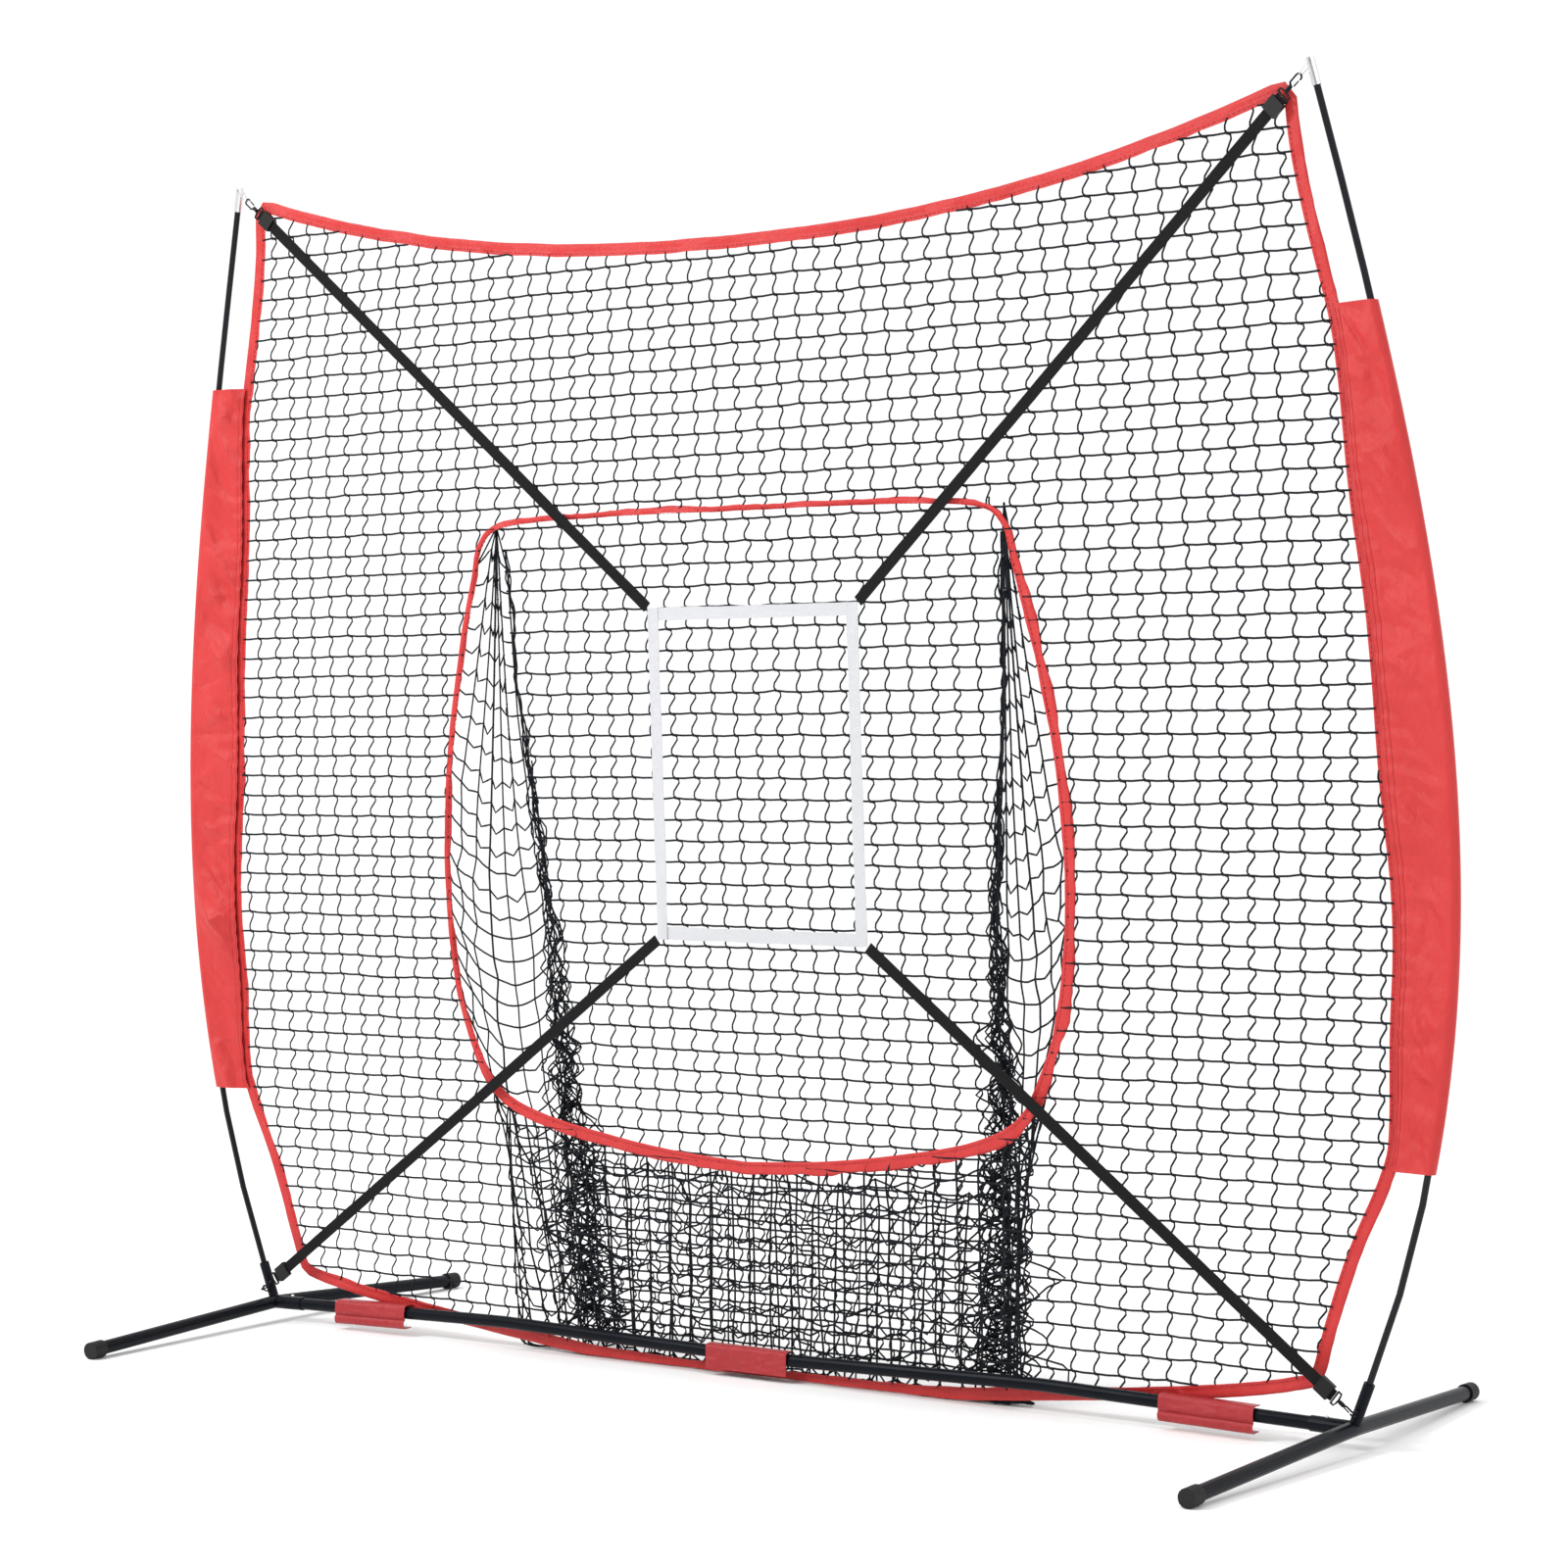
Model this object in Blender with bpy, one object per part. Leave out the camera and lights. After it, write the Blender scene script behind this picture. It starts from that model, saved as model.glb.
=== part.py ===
"""Pitching target net: a free-standing bow-frame net with a ball pocket and a strap-hung strike zone.

Metres, +Z up, the net faces -Y. Two V-shaped feet carry sockets for flexible poles, a two-piece crossbar
joins the feet, and the net hangs between the bowed poles.
"""
import math

import bmesh
import bpy
from mathutils import Matrix, Vector

# ---- driving dimensions, in metres ----------------------------------------------------------------
GAP = 0.0004                    # between pieces that touch on the real object
JUNCTION = Vector((1.116, 0.0, 0.0355))     # where foot, crossbar stub and pole socket meet
FOOT_END = Vector((1.0935, 0.508, 0.0147))  # centre of the front or rear end of a foot
FOOT_RADIUS = 0.01225
TUBE_WALL = 0.0012
CAP_RADIUS = 0.01525            # rubber end cap
CAP_LENGTH = 0.030
CAP_FLAT = 0.0016               # the cap's rubber is pressed flat on the floor below this height
CAP_FLOOR = 0.004

STUB_RADIUS = 0.0127            # 1 inch tube welded to the foot
STUB_END_X = 1.045
BAR_RADIUS = 0.0111             # 7/8 inch crossbar tube
BAR_OUTER_X = 1.094             # how far the crossbar reaches into the stub
BAR_BEND_X = 0.56
BAR_BEND_Z = 0.0475
BAR_CENTRE_Z = 0.037
COUPLER_HALF = 0.060
COUPLER_RADIUS = 0.0095

SOCKET_RADIUS = 0.00915
SOCKET_TOP = Vector((1.1440, -0.0015, 0.1080))
POLE_RADIUS = 0.0055
POLE_BORE = 0.0063              # bore of the sockets, ferrules and tips that take a pole
POLE_TOP = Vector((1.0946, -0.1157, 2.1335))
POLE_BASE_SLOPE = 0.404         # dx/dz where the pole leaves its socket
POLE_TOP_SLOPE = -0.242         # dx/dz at the tip
LEAN_LINEAR = 0.012             # the frame leans forward: y = -(linear z + square z^2)
LEAN_SQUARE = 0.0198
POLE_JOINT_Z = 1.10             # where the two pole sections meet
FERRULE_RADIUS = 0.0072
FERRULE_LENGTH = 0.070
TIP_RADIUS = 0.00725
TIP_LENGTH = 0.045
BAIL_WIRE = 0.0010
BAIL_REACH = 0.028
TIP_HOLE = 0.0019

NET_BACK_OFFSET = 0.008         # net plane behind the plane of the poles
NET_BAR_OFFSET = 0.012          # extra, at the floor, so that the net passes behind the crossbar
NET_BAR_HEIGHT = 0.25
NET_THICK = 0.0015
BINDING_THICK = 0.003
BINDING_WIDTH = 0.022
OPENING_SHIFT = -0.026          # the pocket opening sits slightly off centre
OPENING_BAND = 0.0095           # half the width of the binding round the opening
MOUTH_CLEARANCE = 0.004         # the facets of the mesh clear those of the binding
TOP_SAG = (1.935, 0.1347, 2.2)  # top edge of the mesh: z = a + b |x|^c

# Edge of the mesh on the +X side, from the top corner down to the middle of the bottom edge (x, z).
SIDE_EDGE = ((1.046, 2.084), (1.052, 2.000), (1.0745, 1.880), (1.106, 1.745), (1.118, 1.650), (1.132, 1.463),
             (1.154, 1.280), (1.170, 1.025), (1.184, 0.885), (1.186, 0.770), (1.179, 0.640), (1.176, 0.500),
             (1.163, 0.436), (1.104, 0.304), (1.068, 0.200), (1.041, 0.112))
BOTTOM_EDGE = ((1.041, 0.112), (0.960, 0.0925), (0.800, 0.068), (0.610, 0.046), (0.406, 0.025),
               (0.250, 0.018), (0.000, 0.016))
BINDING_LOW = 0.0015            # the binding's lower edge clears the floor by this much
# Half of the pocket opening, relative to its centre line, from the top down (x, z).
OPENING = ((0.000, 1.4975), (0.300, 1.497), (0.490, 1.487), (0.545, 1.455), (0.565, 1.390), (0.600, 1.260),
           (0.635, 1.080), (0.651, 0.890), (0.640, 0.700), (0.610, 0.580), (0.555, 0.475), (0.460, 0.425),
           (0.300, 0.392), (0.150, 0.372), (0.000, 0.362))

SLEEVE_LOW = 0.438
SLEEVE_HIGH = 1.763
SLEEVE_CHANNEL = 0.0082         # inner radius of the pole channel
SLEEVE_SKIN = 0.0016
SEAM_CLEARANCE = 0.0040         # the straight facets of the sleeve clear the curved binding

POCKET_LOW = 0.012
# Depth of the pocket's back behind the net plane, and half its width, against height (z, depth, half width).
POCKET = ((1.440, 0.010, 0.516), (1.200, 0.017, 0.508), (1.000, 0.024, 0.488), (0.800, 0.036, 0.470),
          (0.600, 0.054, 0.466), (0.400, 0.072, 0.462), (0.200, 0.086, 0.452), (0.020, 0.094, 0.440))
POCKET_THICK = 0.0015

ZONE_HALF = 0.2175              # strike zone: 17 inches wide outside
ZONE_SHIFT = 0.018
ZONE_LOW = 0.753
ZONE_HIGH = 1.331
ZONE_TAPE = 0.022
ZONE_THICK = 0.002
ZONE_FRONT = 0.007              # in front of the net plane

STRAP_WIDTH = 0.020
STRAP_THICK = 0.0022
STRAP_START = 0.0415            # along the strap from the hook's bearing point
HOOK_ROD = 0.0016
HOOK_ARC = 0.0054
HOOK_CENTRE = 0.0019
BARREL_RADIUS = 0.0037
BARREL_BORE = 0.0025
BARREL_SPAN = (0.0205, 0.0290)
GATE_PIVOT = Vector((0.0172, 0.0042, 0.0))
GATE_RADIUS = 0.0012
SLIDER_SPAN = (0.0480, 0.0740)
EYE_REACH = 0.0125              # base eye: from the socket's skin to the wire
EYE_WIRE = 0.0015
EYE_HALF = 0.0060
EYE_HEIGHT = 0.028              # above the junction, along the socket

BUTTON_X = 1.072
BUTTON_RADIUS = 0.0030
BUTTON_PROUD = 0.0032
LEAF_THICK = 0.0006             # spring under the button
LEAF_HALF = 0.0032              # half its width
FLAP_HALF = 0.084
FLAP_THICK = 0.0014
FLAP_SIDE_X = 0.868
FLAP_FRONT = BAR_RADIUS + 0.0028
SIDES = (("L", -1), ("R", 1))

RED = ("red_polyester", (0.62, 0.055, 0.065), 0.55, 0.0)
BLACK_STEEL = ("black_powder_coat", (0.012, 0.014, 0.018), 0.35, 0.3)
BLACK_RUBBER = ("black_rubber", (0.010, 0.010, 0.011), 0.70, 0.0)
FIBREGLASS = ("black_fibreglass", (0.010, 0.011, 0.014), 0.28, 0.0)
SILVER = ("plated_steel", (0.75, 0.76, 0.78), 0.22, 1.0)
BLACK_PLASTIC = ("black_plastic", (0.013, 0.013, 0.014), 0.45, 0.0)
BLACK_METAL = ("black_metal", (0.015, 0.015, 0.016), 0.38, 0.6)
NETTING = ("black_netting", (0.012, 0.013, 0.015), 0.75, 0.0)
WEBBING = ("black_webbing", (0.012, 0.012, 0.013), 0.80, 0.0)
WHITE = ("white_webbing", (0.85, 0.86, 0.88), 0.75, 0.0)


# ---- small helpers --------------------------------------------------------------------------------
def clear_scene():
    for thing in list(bpy.data.objects):
        bpy.data.objects.remove(thing, do_unlink=True)


def material(spec):
    name, colour, roughness, metallic = spec
    found = bpy.data.materials.get(name)
    if found:
        return found
    made = bpy.data.materials.new(name)
    made.use_nodes = True
    shader = made.node_tree.nodes["Principled BSDF"]
    shader.inputs["Base Color"].default_value = (*colour, 1.0)
    shader.inputs["Roughness"].default_value = roughness
    shader.inputs["Metallic"].default_value = metallic
    return made


def add_object(name, shape, spec, origin=(0.0, 0.0, 0.0), matrix=None, angle=40.0):
    """Makes an object from (vertices, faces). With a matrix the vertices are local, else world points."""
    vertices, faces = shape
    origin = Vector(origin)
    mesh = bpy.data.meshes.new(name)
    if matrix is None:
        vertices = [Vector(v) - origin for v in vertices]
    mesh.from_pydata([tuple(v) for v in vertices], [], faces)
    work = bmesh.new()
    work.from_mesh(mesh)
    bmesh.ops.recalc_face_normals(work, faces=work.faces)
    if work.calc_volume(signed=True) < 0.0:
        bmesh.ops.reverse_faces(work, faces=work.faces)
    work.to_mesh(mesh)
    work.free()
    mesh.shade_smooth()
    mesh.set_sharp_from_angle(angle=math.radians(angle))
    mesh.materials.append(material(spec))
    thing = bpy.data.objects.new(name, mesh)
    bpy.context.scene.collection.objects.link(thing)
    if matrix is None:
        thing.location = origin
    else:
        thing.matrix_world = matrix
    return thing


def add_cutter(name, shape):
    cutter = add_object(name, shape, BLACK_STEEL)
    cutter.hide_render = True
    cutter.display_type = "WIRE"
    return cutter


def boolean(thing, other, operation="DIFFERENCE"):
    step = thing.modifiers.new(operation.lower(), "BOOLEAN")
    step.operation = operation
    step.object = other
    step.solver = "EXACT"


def loft(outer, inner=None, blind=False, closed=False):
    """Joins loops of equal length into one closed body.

    inner is a second list of loops for a bore: open at both ends, or with blind=True at the first end only.
    closed=True joins the last loop to the first, for a ring.
    """
    count = len(outer[0])
    vertices = [p for loop in outer for p in loop]
    faces = []

    def skin(base, rows, wrap):
        for row in range(rows if wrap else rows - 1):
            a = base + row * count
            b = base + ((row + 1) % rows) * count
            for i in range(count):
                j = (i + 1) % count
                faces.append((a + i, a + j, b + j, b + i))

    skin(0, len(outer), closed)
    if closed:
        return vertices, faces
    last = (len(outer) - 1) * count
    if inner is None:
        faces.append(tuple(range(count)))
        faces.append(tuple(range(last, last + count)))
        return vertices, faces
    base = len(vertices)
    vertices += [p for loop in inner for p in loop]
    skin(base, len(inner), False)
    inner_last = base + (len(inner) - 1) * count
    for i in range(count):
        j = (i + 1) % count
        faces.append((i, j, base + j, base + i))
        if not blind:
            faces.append((last + i, last + j, inner_last + j, inner_last + i))
    if blind:
        faces.append(tuple(range(last, last + count)))
        faces.append(tuple(range(inner_last, inner_last + count)))
    return vertices, faces


def frames(path, start, closed=False):
    """A (side, up) pair at each point of a path, carried along it without twisting."""
    path = [Vector(p) for p in path]
    count = len(path)
    made = []
    side = Vector(start)
    for i, point in enumerate(path):
        before = path[i - 1] if (i or closed) else point
        after = path[(i + 1) % count] if (i < count - 1 or closed) else point
        tangent = (after - before).normalized()
        side = (side - tangent * side.dot(tangent)).normalized()
        made.append((side.copy(), tangent.cross(side)))
    return made


def rings(path, radius, sides, start=(0, 0, 1), phase=0.0, closed=False):
    """Circles along a path; radius is one number or one for each point."""
    radii = radius if isinstance(radius, (list, tuple)) else [radius] * len(path)
    loops = []
    for point, size, (side, up) in zip(path, radii, frames(path, start, closed)):
        turn = [math.tau * (k + phase) / sides for k in range(sides)]
        loops.append([Vector(point) + side * (size * math.cos(a)) + up * (size * math.sin(a)) for a in turn])
    return loops


def rod(path, radius, sides=12, start=(0, 0, 1), bore=None):
    outer = rings(path, radius, sides, start)
    inner = rings(path, bore, sides, start) if bore else None
    return loft(outer, inner)


def smooth_curve(points, steps):
    """A Catmull-Rom curve through the points, as a list of tuples."""
    out = []
    last = len(points) - 1
    for i in range(last):
        p = [Vector(points[max(0, min(last, i + k))]) for k in (-1, 0, 1, 2)]
        for s in range(steps):
            t = s / steps
            straight = (2 * p[1]) + (p[2] - p[0]) * t
            square = (2 * p[0] - 5 * p[1] + 4 * p[2] - p[3]) * t ** 2
            cube = (3 * p[1] - p[0] - 3 * p[2] + p[3]) * t ** 3
            out.append(tuple(0.5 * (straight + square + cube)))
    out.append(tuple(points[-1]))
    return out


def interpolate(table, key, column):
    """Linear value of a column in a table whose first column falls."""
    for high, low in zip(table, table[1:]):
        if key >= low[0]:
            share = (key - low[0]) / (high[0] - low[0])
            return low[column] + min(1.0, share) * (high[column] - low[column])
    return table[-1][column]


def arc(centre, radius, first, last, count):
    """Points on a circle in a plane, angles in degrees."""
    turn = [math.radians(first + (last - first) * k / (count - 1)) for k in range(count)]
    return [(centre[0] + radius * math.cos(a), centre[1] + radius * math.sin(a)) for a in turn]


# ---- shape of the frame ---------------------------------------------------------------------------
def lean(z):
    return -(LEAN_LINEAR * z + LEAN_SQUARE * z * z)


def net_y(z):
    low = max(0.0, 1.0 - z / NET_BAR_HEIGHT)
    return lean(z) + NET_BACK_OFFSET + NET_BAR_OFFSET * low * low


def pole_x(z):
    """The pole is a bent rod: a cubic between socket and tip with the slope given at each end."""
    span = POLE_TOP.z - SOCKET_TOP.z
    u = (z - SOCKET_TOP.z) / span
    start = 2 * u ** 3 - 3 * u ** 2 + 1
    return (start * SOCKET_TOP.x + (u ** 3 - 2 * u ** 2 + u) * span * POLE_BASE_SLOPE
            + (1 - start) * POLE_TOP.x + (u ** 3 - u ** 2) * span * POLE_TOP_SLOPE)


def pole_point(z, side=1):
    return Vector((side * pole_x(z), lean(z), z))


def pole_path(low, high, count, side):
    return [pole_point(low + (high - low) * k / (count - 1), side) for k in range(count)]


def bar_z(x):
    x = abs(x)
    if x > BAR_BEND_X:
        share = (x - BAR_BEND_X) / (JUNCTION.x - BAR_BEND_X)
        return BAR_BEND_Z + (JUNCTION.z - BAR_BEND_Z) * share
    return BAR_CENTRE_Z + (BAR_BEND_Z - BAR_CENTRE_Z) * x / BAR_BEND_X


def bar_point(x):
    return Vector((x, 0.0, bar_z(x)))


def mirror_x(point, side):
    return Vector((side * point[0], point[1], point[2]))


# ---- steel base -----------------------------------------------------------------------------------
def foot_path(side, reach=1.0):
    """From the front end through the junction to the rear end, with a rounded knee at the junction."""
    points = []
    for share in (-reach, -0.06, -0.02, 0.02, 0.06, reach):
        centre = JUNCTION.lerp(Vector((FOOT_END.x, FOOT_END.y, FOOT_END.z)), abs(share))
        points.append(Vector((side * centre.x, math.copysign(centre.y, share), centre.z)))
    return points


def make_foot(tag, side):
    add_object("foot_tube_" + tag, rod(foot_path(side, 0.99), FOOT_RADIUS, 16, bore=FOOT_RADIUS - TUBE_WALL),
               BLACK_STEEL)
    for place, turn in (("front", -1), ("rear", 1)):
        make_end_cap("end_cap_%s_%s" % (tag, place), side, turn)


def make_end_cap(name, side, turn):
    """A rubber cup pushed over the tube; its lowest facet is a flat foot on the floor."""
    path = foot_path(side)
    end, knee = (path[0], path[1]) if turn < 0 else (path[-1], path[-2])
    inward = (knee - end).normalized()
    mouth = end + inward * CAP_LENGTH
    outer = rings([mouth, end], CAP_RADIUS, 16, phase=0.5)
    for loop in outer:
        for point in loop:
            if point.z < CAP_FLAT:
                point.z = 0.0
    loose = (FOOT_RADIUS + GAP) / math.cos(math.pi / 16)
    bore = rings([mouth, end + inward * CAP_FLOOR], loose, 16, phase=0.5)
    add_object(name, loft(outer, bore, blind=True), BLACK_RUBBER)


def socket_axis(side):
    foot = Vector((side * JUNCTION.x, 0.0, JUNCTION.z))
    top = mirror_x(SOCKET_TOP, side)
    return foot, top, (top - foot).normalized()


def eye_frame(side):
    """Bearing point of the base eye, and the direction of its wire, square to the strap that pulls on it."""
    foot, _, axis = socket_axis(side)
    bearing = foot + axis * EYE_HEIGHT + Vector((0.0, -SOCKET_RADIUS - EYE_REACH, 0.0))
    along = zone_point(ZONE_SHIFT + side * ZONE_HALF, ZONE_LOW) - bearing
    return bearing, Vector((along.z, 0.0, -along.x)).normalized()


def make_socket(tag, side, foot_cut, stub_cut):
    foot, top, axis = socket_axis(side)
    floor = foot + axis * 0.030
    outer = rings([top, foot + axis * 0.004], SOCKET_RADIUS, 16, start=(0, 1, 0))
    bore = rings([top, floor], POLE_BORE, 16, start=(0, 1, 0))
    socket = add_object("pole_socket_" + tag, loft(outer, bore, blind=True), BLACK_STEEL)
    bearing, across = eye_frame(side)
    inside = Vector((0.0, EYE_REACH + 0.003, 0.0))
    bend = Vector((0.0, 0.004, 0.0))
    path = [bearing + across * EYE_HALF + inside, bearing + across * EYE_HALF + bend,
            bearing + across * (EYE_HALF - 0.003), bearing - across * (EYE_HALF - 0.003),
            bearing - across * EYE_HALF + bend, bearing - across * EYE_HALF + inside]
    eye = add_cutter("guide_eye_" + tag, rod(path, EYE_WIRE, 8))
    boolean(socket, eye, "UNION")
    boolean(socket, foot_cut)
    boolean(socket, stub_cut)


def make_stub(tag, side, foot_cut, hole):
    path = [bar_point(side * STUB_END_X), bar_point(side * (JUNCTION.x - 0.004))]
    stub = add_object("crossbar_stub_" + tag, rod(path, STUB_RADIUS, 20, bore=BAR_RADIUS + GAP), BLACK_STEEL)
    boolean(stub, foot_cut)
    boolean(stub, hole)


def make_crossbar(tag, side, hole):
    stations = (BAR_OUTER_X, STUB_END_X, BAR_BEND_X + 0.05, BAR_BEND_X, BAR_BEND_X - 0.05, 0.30, GAP)
    path = [bar_point(side * x) for x in stations]
    path[3] = path[3] - Vector((0.0, 0.0, 0.0003))
    bar = add_object("crossbar_" + tag, rod(path, BAR_RADIUS, 16, bore=BAR_RADIUS - TUBE_WALL), BLACK_STEEL)
    boolean(bar, hole)


def make_coupler():
    path = [bar_point(-COUPLER_HALF), Vector((0.0, 0.0, BAR_CENTRE_Z)), bar_point(COUPLER_HALF)]
    coupler = rod(path, COUPLER_RADIUS, 12, bore=COUPLER_RADIUS - TUBE_WALL)
    add_object("crossbar_coupler", coupler, BLACK_STEEL)


def make_button(tag, side):
    """Push button with a flange inside the tube, pressed up by a folded leaf spring."""
    x = side * BUTTON_X
    axis_z = bar_z(x)
    top = axis_z + STUB_RADIUS + BUTTON_PROUD
    flange = axis_z + 0.0078
    heights = (flange - 0.0010, flange, flange, top - 0.0020, top - 0.0007, top)
    radii = (0.0040, 0.0040, BUTTON_RADIUS, BUTTON_RADIUS, 0.0024, 0.0011)
    path = [Vector((x, 0.0, z + 1e-6 * k)) for k, z in enumerate(heights)]
    loops = [[Vector((p.x + r * math.cos(math.tau * k / 12), r * math.sin(math.tau * k / 12), p.z))
              for k in range(12)] for p, r in zip(path, radii)]
    add_object("spring_button_" + tag, loft(loops), SILVER, origin=(x, 0.0, flange))
    under = flange - 0.0010 - GAP
    low = axis_z - BAR_RADIUS + TUBE_WALL + 0.0022
    middle = (under + low) / 2
    tip, fold = -0.0045, 0.034
    profile = [(tip, under), (0.010, under), (fold, middle + 0.0008), (fold + 0.0015, middle),
               (fold, middle - 0.0008), (0.004, low - 0.0002), (0.004, low - 0.0002 + LEAF_THICK),
               (fold - 0.003, middle), (0.009, under - LEAF_THICK), (tip, under - LEAF_THICK)]
    loops = [[Vector((x - side * along, width, z)) for along, z in profile] for width in (-LEAF_HALF, LEAF_HALF)]
    add_object("button_spring_" + tag, loft(loops), SILVER)


def make_base():
    for tag, side in SIDES:
        foot_cut = add_cutter("cut_foot_" + tag, rod(foot_path(side), FOOT_RADIUS + GAP, 16))
        stub_path = [bar_point(side * STUB_END_X), bar_point(side * (JUNCTION.x + 0.001))]
        stub_cut = add_cutter("cut_stub_" + tag, rod(stub_path, STUB_RADIUS + GAP, 20))
        x = side * BUTTON_X
        column = [Vector((x, 0.0, bar_z(x) + 0.004)), Vector((x, 0.0, bar_z(x) + 0.030))]
        hole = add_cutter("cut_button_" + tag, rod(column, BUTTON_RADIUS + GAP, 12, start=(1, 0, 0)))
        make_foot(tag, side)
        make_socket(tag, side, foot_cut, stub_cut)
        make_stub(tag, side, foot_cut, hole)
        make_crossbar(tag, side, hole)
        make_button(tag, side)
    make_coupler()


# ---- poles ----------------------------------------------------------------------------------------
def tip_axis(side):
    slope = -(LEAN_LINEAR + 2 * LEAN_SQUARE * POLE_TOP.z)
    return Vector((side * POLE_TOP_SLOPE, slope, 1.0)).normalized()


def bail_root(side):
    return mirror_x(POLE_TOP, side) - tip_axis(side) * 0.007


def bail_direction(side):
    return Vector((-side * 0.68, 0.0, -0.73)).normalized()


def make_pole(tag, side):
    foot, _, axis = socket_axis(side)
    start = foot + axis * 0.0305
    lower = [start, start.lerp(mirror_x(SOCKET_TOP, side), 0.5)]
    lower += pole_path(SOCKET_TOP.z, POLE_JOINT_Z - GAP, 8, side)
    add_object("pole_lower_" + tag, rod(lower, POLE_RADIUS, 10), FIBREGLASS)
    tip = mirror_x(POLE_TOP, side)
    inserted = tip - tip_axis(side) * (TIP_LENGTH - 0.028)
    upper = pole_path(POLE_JOINT_Z + GAP, POLE_TOP.z - TIP_LENGTH, 8, side) + [inserted]
    add_object("pole_upper_" + tag, rod(upper, POLE_RADIUS, 10), FIBREGLASS)
    half = FERRULE_LENGTH / 2
    ferrule = pole_path(POLE_JOINT_Z - half, POLE_JOINT_Z + half, 3, side)
    add_object("pole_ferrule_" + tag, rod(ferrule, FERRULE_RADIUS, 12, bore=POLE_BORE), SILVER)
    mouth = tip - tip_axis(side) * TIP_LENGTH
    shoulder = tip - tip_axis(side) * 0.001
    outer = rings([mouth, shoulder, tip], [TIP_RADIUS, TIP_RADIUS, TIP_RADIUS - 0.001], 12, start=(0, 1, 0))
    bore = rings([mouth, tip - tip_axis(side) * 0.0165], POLE_BORE, 12, start=(0, 1, 0))
    cap = add_object("pole_tip_" + tag, loft(outer, bore, blind=True), SILVER)
    root = bail_root(side)
    across = [root + Vector((0, -0.02, 0)), root + Vector((0, 0.02, 0))]
    boolean(cap, add_cutter("cut_bail_" + tag, rod(across, TIP_HOLE, 8)))
    make_bail(tag, side)


def make_bail(tag, side):
    """Closed wire link: through the hole in the pole tip, both legs down to a round end for the hook."""
    root, away = bail_root(side), bail_direction(side)
    end = [(BAIL_REACH - 0.005 + x, y) for x, y in arc((0, 0), 0.005, 90, -90, 5)]
    flat = [(0.0, -0.0075), (0.0, 0.0075), (0.0025, 0.0093), (0.006, 0.0090)] + end
    flat += [(0.006, -0.0090), (0.0025, -0.0093)]
    path = [root + away * d + Vector((0.0, y, 0.0)) for d, y in flat]
    loops = rings(path, BAIL_WIRE, 6, start=away.cross(Vector((0, 1, 0))), closed=True)
    add_object("tip_bail_" + tag, loft(loops, closed=True), SILVER)


# ---- net, bindings, sleeves and pocket ------------------------------------------------------------
def mesh_edge():
    """The edge of the mesh as a closed list of (x, z), clockwise from the middle of the top."""
    base, factor, power = TOP_SAG
    top = [(x, base + factor * x ** power) for x in (0.0, 0.15, 0.3, 0.45, 0.6, 0.75, 0.9, 1.0)]
    side = smooth_curve(SIDE_EDGE, 2)
    bottom = smooth_curve(BOTTOM_EDGE, 2)[1:]
    right = top + side + bottom
    left = [(-x, z) for x, z in reversed(right[1:-1])]
    return right + left


def offset(outline, amount):
    """Moves a closed clockwise outline outwards by amount, mitred at the corners."""
    out = []
    count = len(outline)
    for i, (x, z) in enumerate(outline):
        a, b = Vector(outline[i - 1]), Vector(outline[(i + 1) % count])
        here = Vector((x, z))
        first, second = (here - a).normalized(), (b - here).normalized()
        normal = Vector((-first.y, first.x)) + Vector((-second.y, second.x))
        normal.normalize()
        scale = max(0.5, normal.dot(Vector((-first.y, first.x))))
        moved = here + normal * (amount / scale)
        out.append((moved.x, moved.y))
    return out


def opening_outline():
    right = smooth_curve(OPENING, 2)
    left = [(-x, z) for x, z in reversed(right[1:-1])]
    return [(x + OPENING_SHIFT, z) for x, z in right + left]


def hit(outline, centre, target):
    """Where the ray from centre to target crosses the outline."""
    direction = Vector(target) - Vector(centre)
    best = None
    for i, a in enumerate(outline):
        a, b = Vector(a) - Vector(centre), Vector(outline[(i + 1) % len(outline)]) - Vector(centre)
        edge = b - a
        bottom = direction.x * edge.y - direction.y * edge.x
        if abs(bottom) < 1e-12:
            continue
        along = (a.x * edge.y - a.y * edge.x) / bottom
        share = (a.x * direction.y - a.y * direction.x) / bottom
        if along > 0 and -1e-6 <= share <= 1 + 1e-6:
            best = along if best is None else max(best, along)
    point = Vector(centre) + direction * best
    return point.x, point.y


def sheet_ring(loops, thick):
    """A sheet between closed (x, z) loops, bent to the net surface, with a front and a back."""
    half = thick / 2
    front = [[(x, net_y(z) - half, z) for x, z in loop] for loop in loops]
    back = [[(x, net_y(z) + half, z) for x, z in loop] for loop in reversed(loops)]
    return loft(front + back, closed=True)


def grid_sheet(rows, thick):
    """A plate from rows of 3-D points, thickened along Y.

    Both faces are split on the same diagonals, so the plate keeps its thickness where it twists.
    """
    half = Vector((0.0, thick / 2, 0.0))
    across = len(rows[0])
    points = [p for row in rows for p in row]
    count = len(points)
    faces = []
    for r in range(len(rows) - 1):
        for c in range(across - 1):
            a = r * across + c
            b, d, e = a + 1, a + across, a + across + 1
            faces += [(a, b, e), (a, e, d)]
            faces += [(count + a, count + e, count + b), (count + a, count + d, count + e)]
    last = (len(rows) - 1) * across
    rim = list(range(across))
    rim += [r * across + across - 1 for r in range(1, len(rows))]
    rim += [last + c for c in range(across - 2, -1, -1)]
    rim += [r * across for r in range(len(rows) - 2, 0, -1)]
    for i, j in zip(rim, rim[1:] + rim[:1]):
        faces.append((j, i, count + i, count + j))
    return [p - half for p in points] + [p + half for p in points], faces


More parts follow.
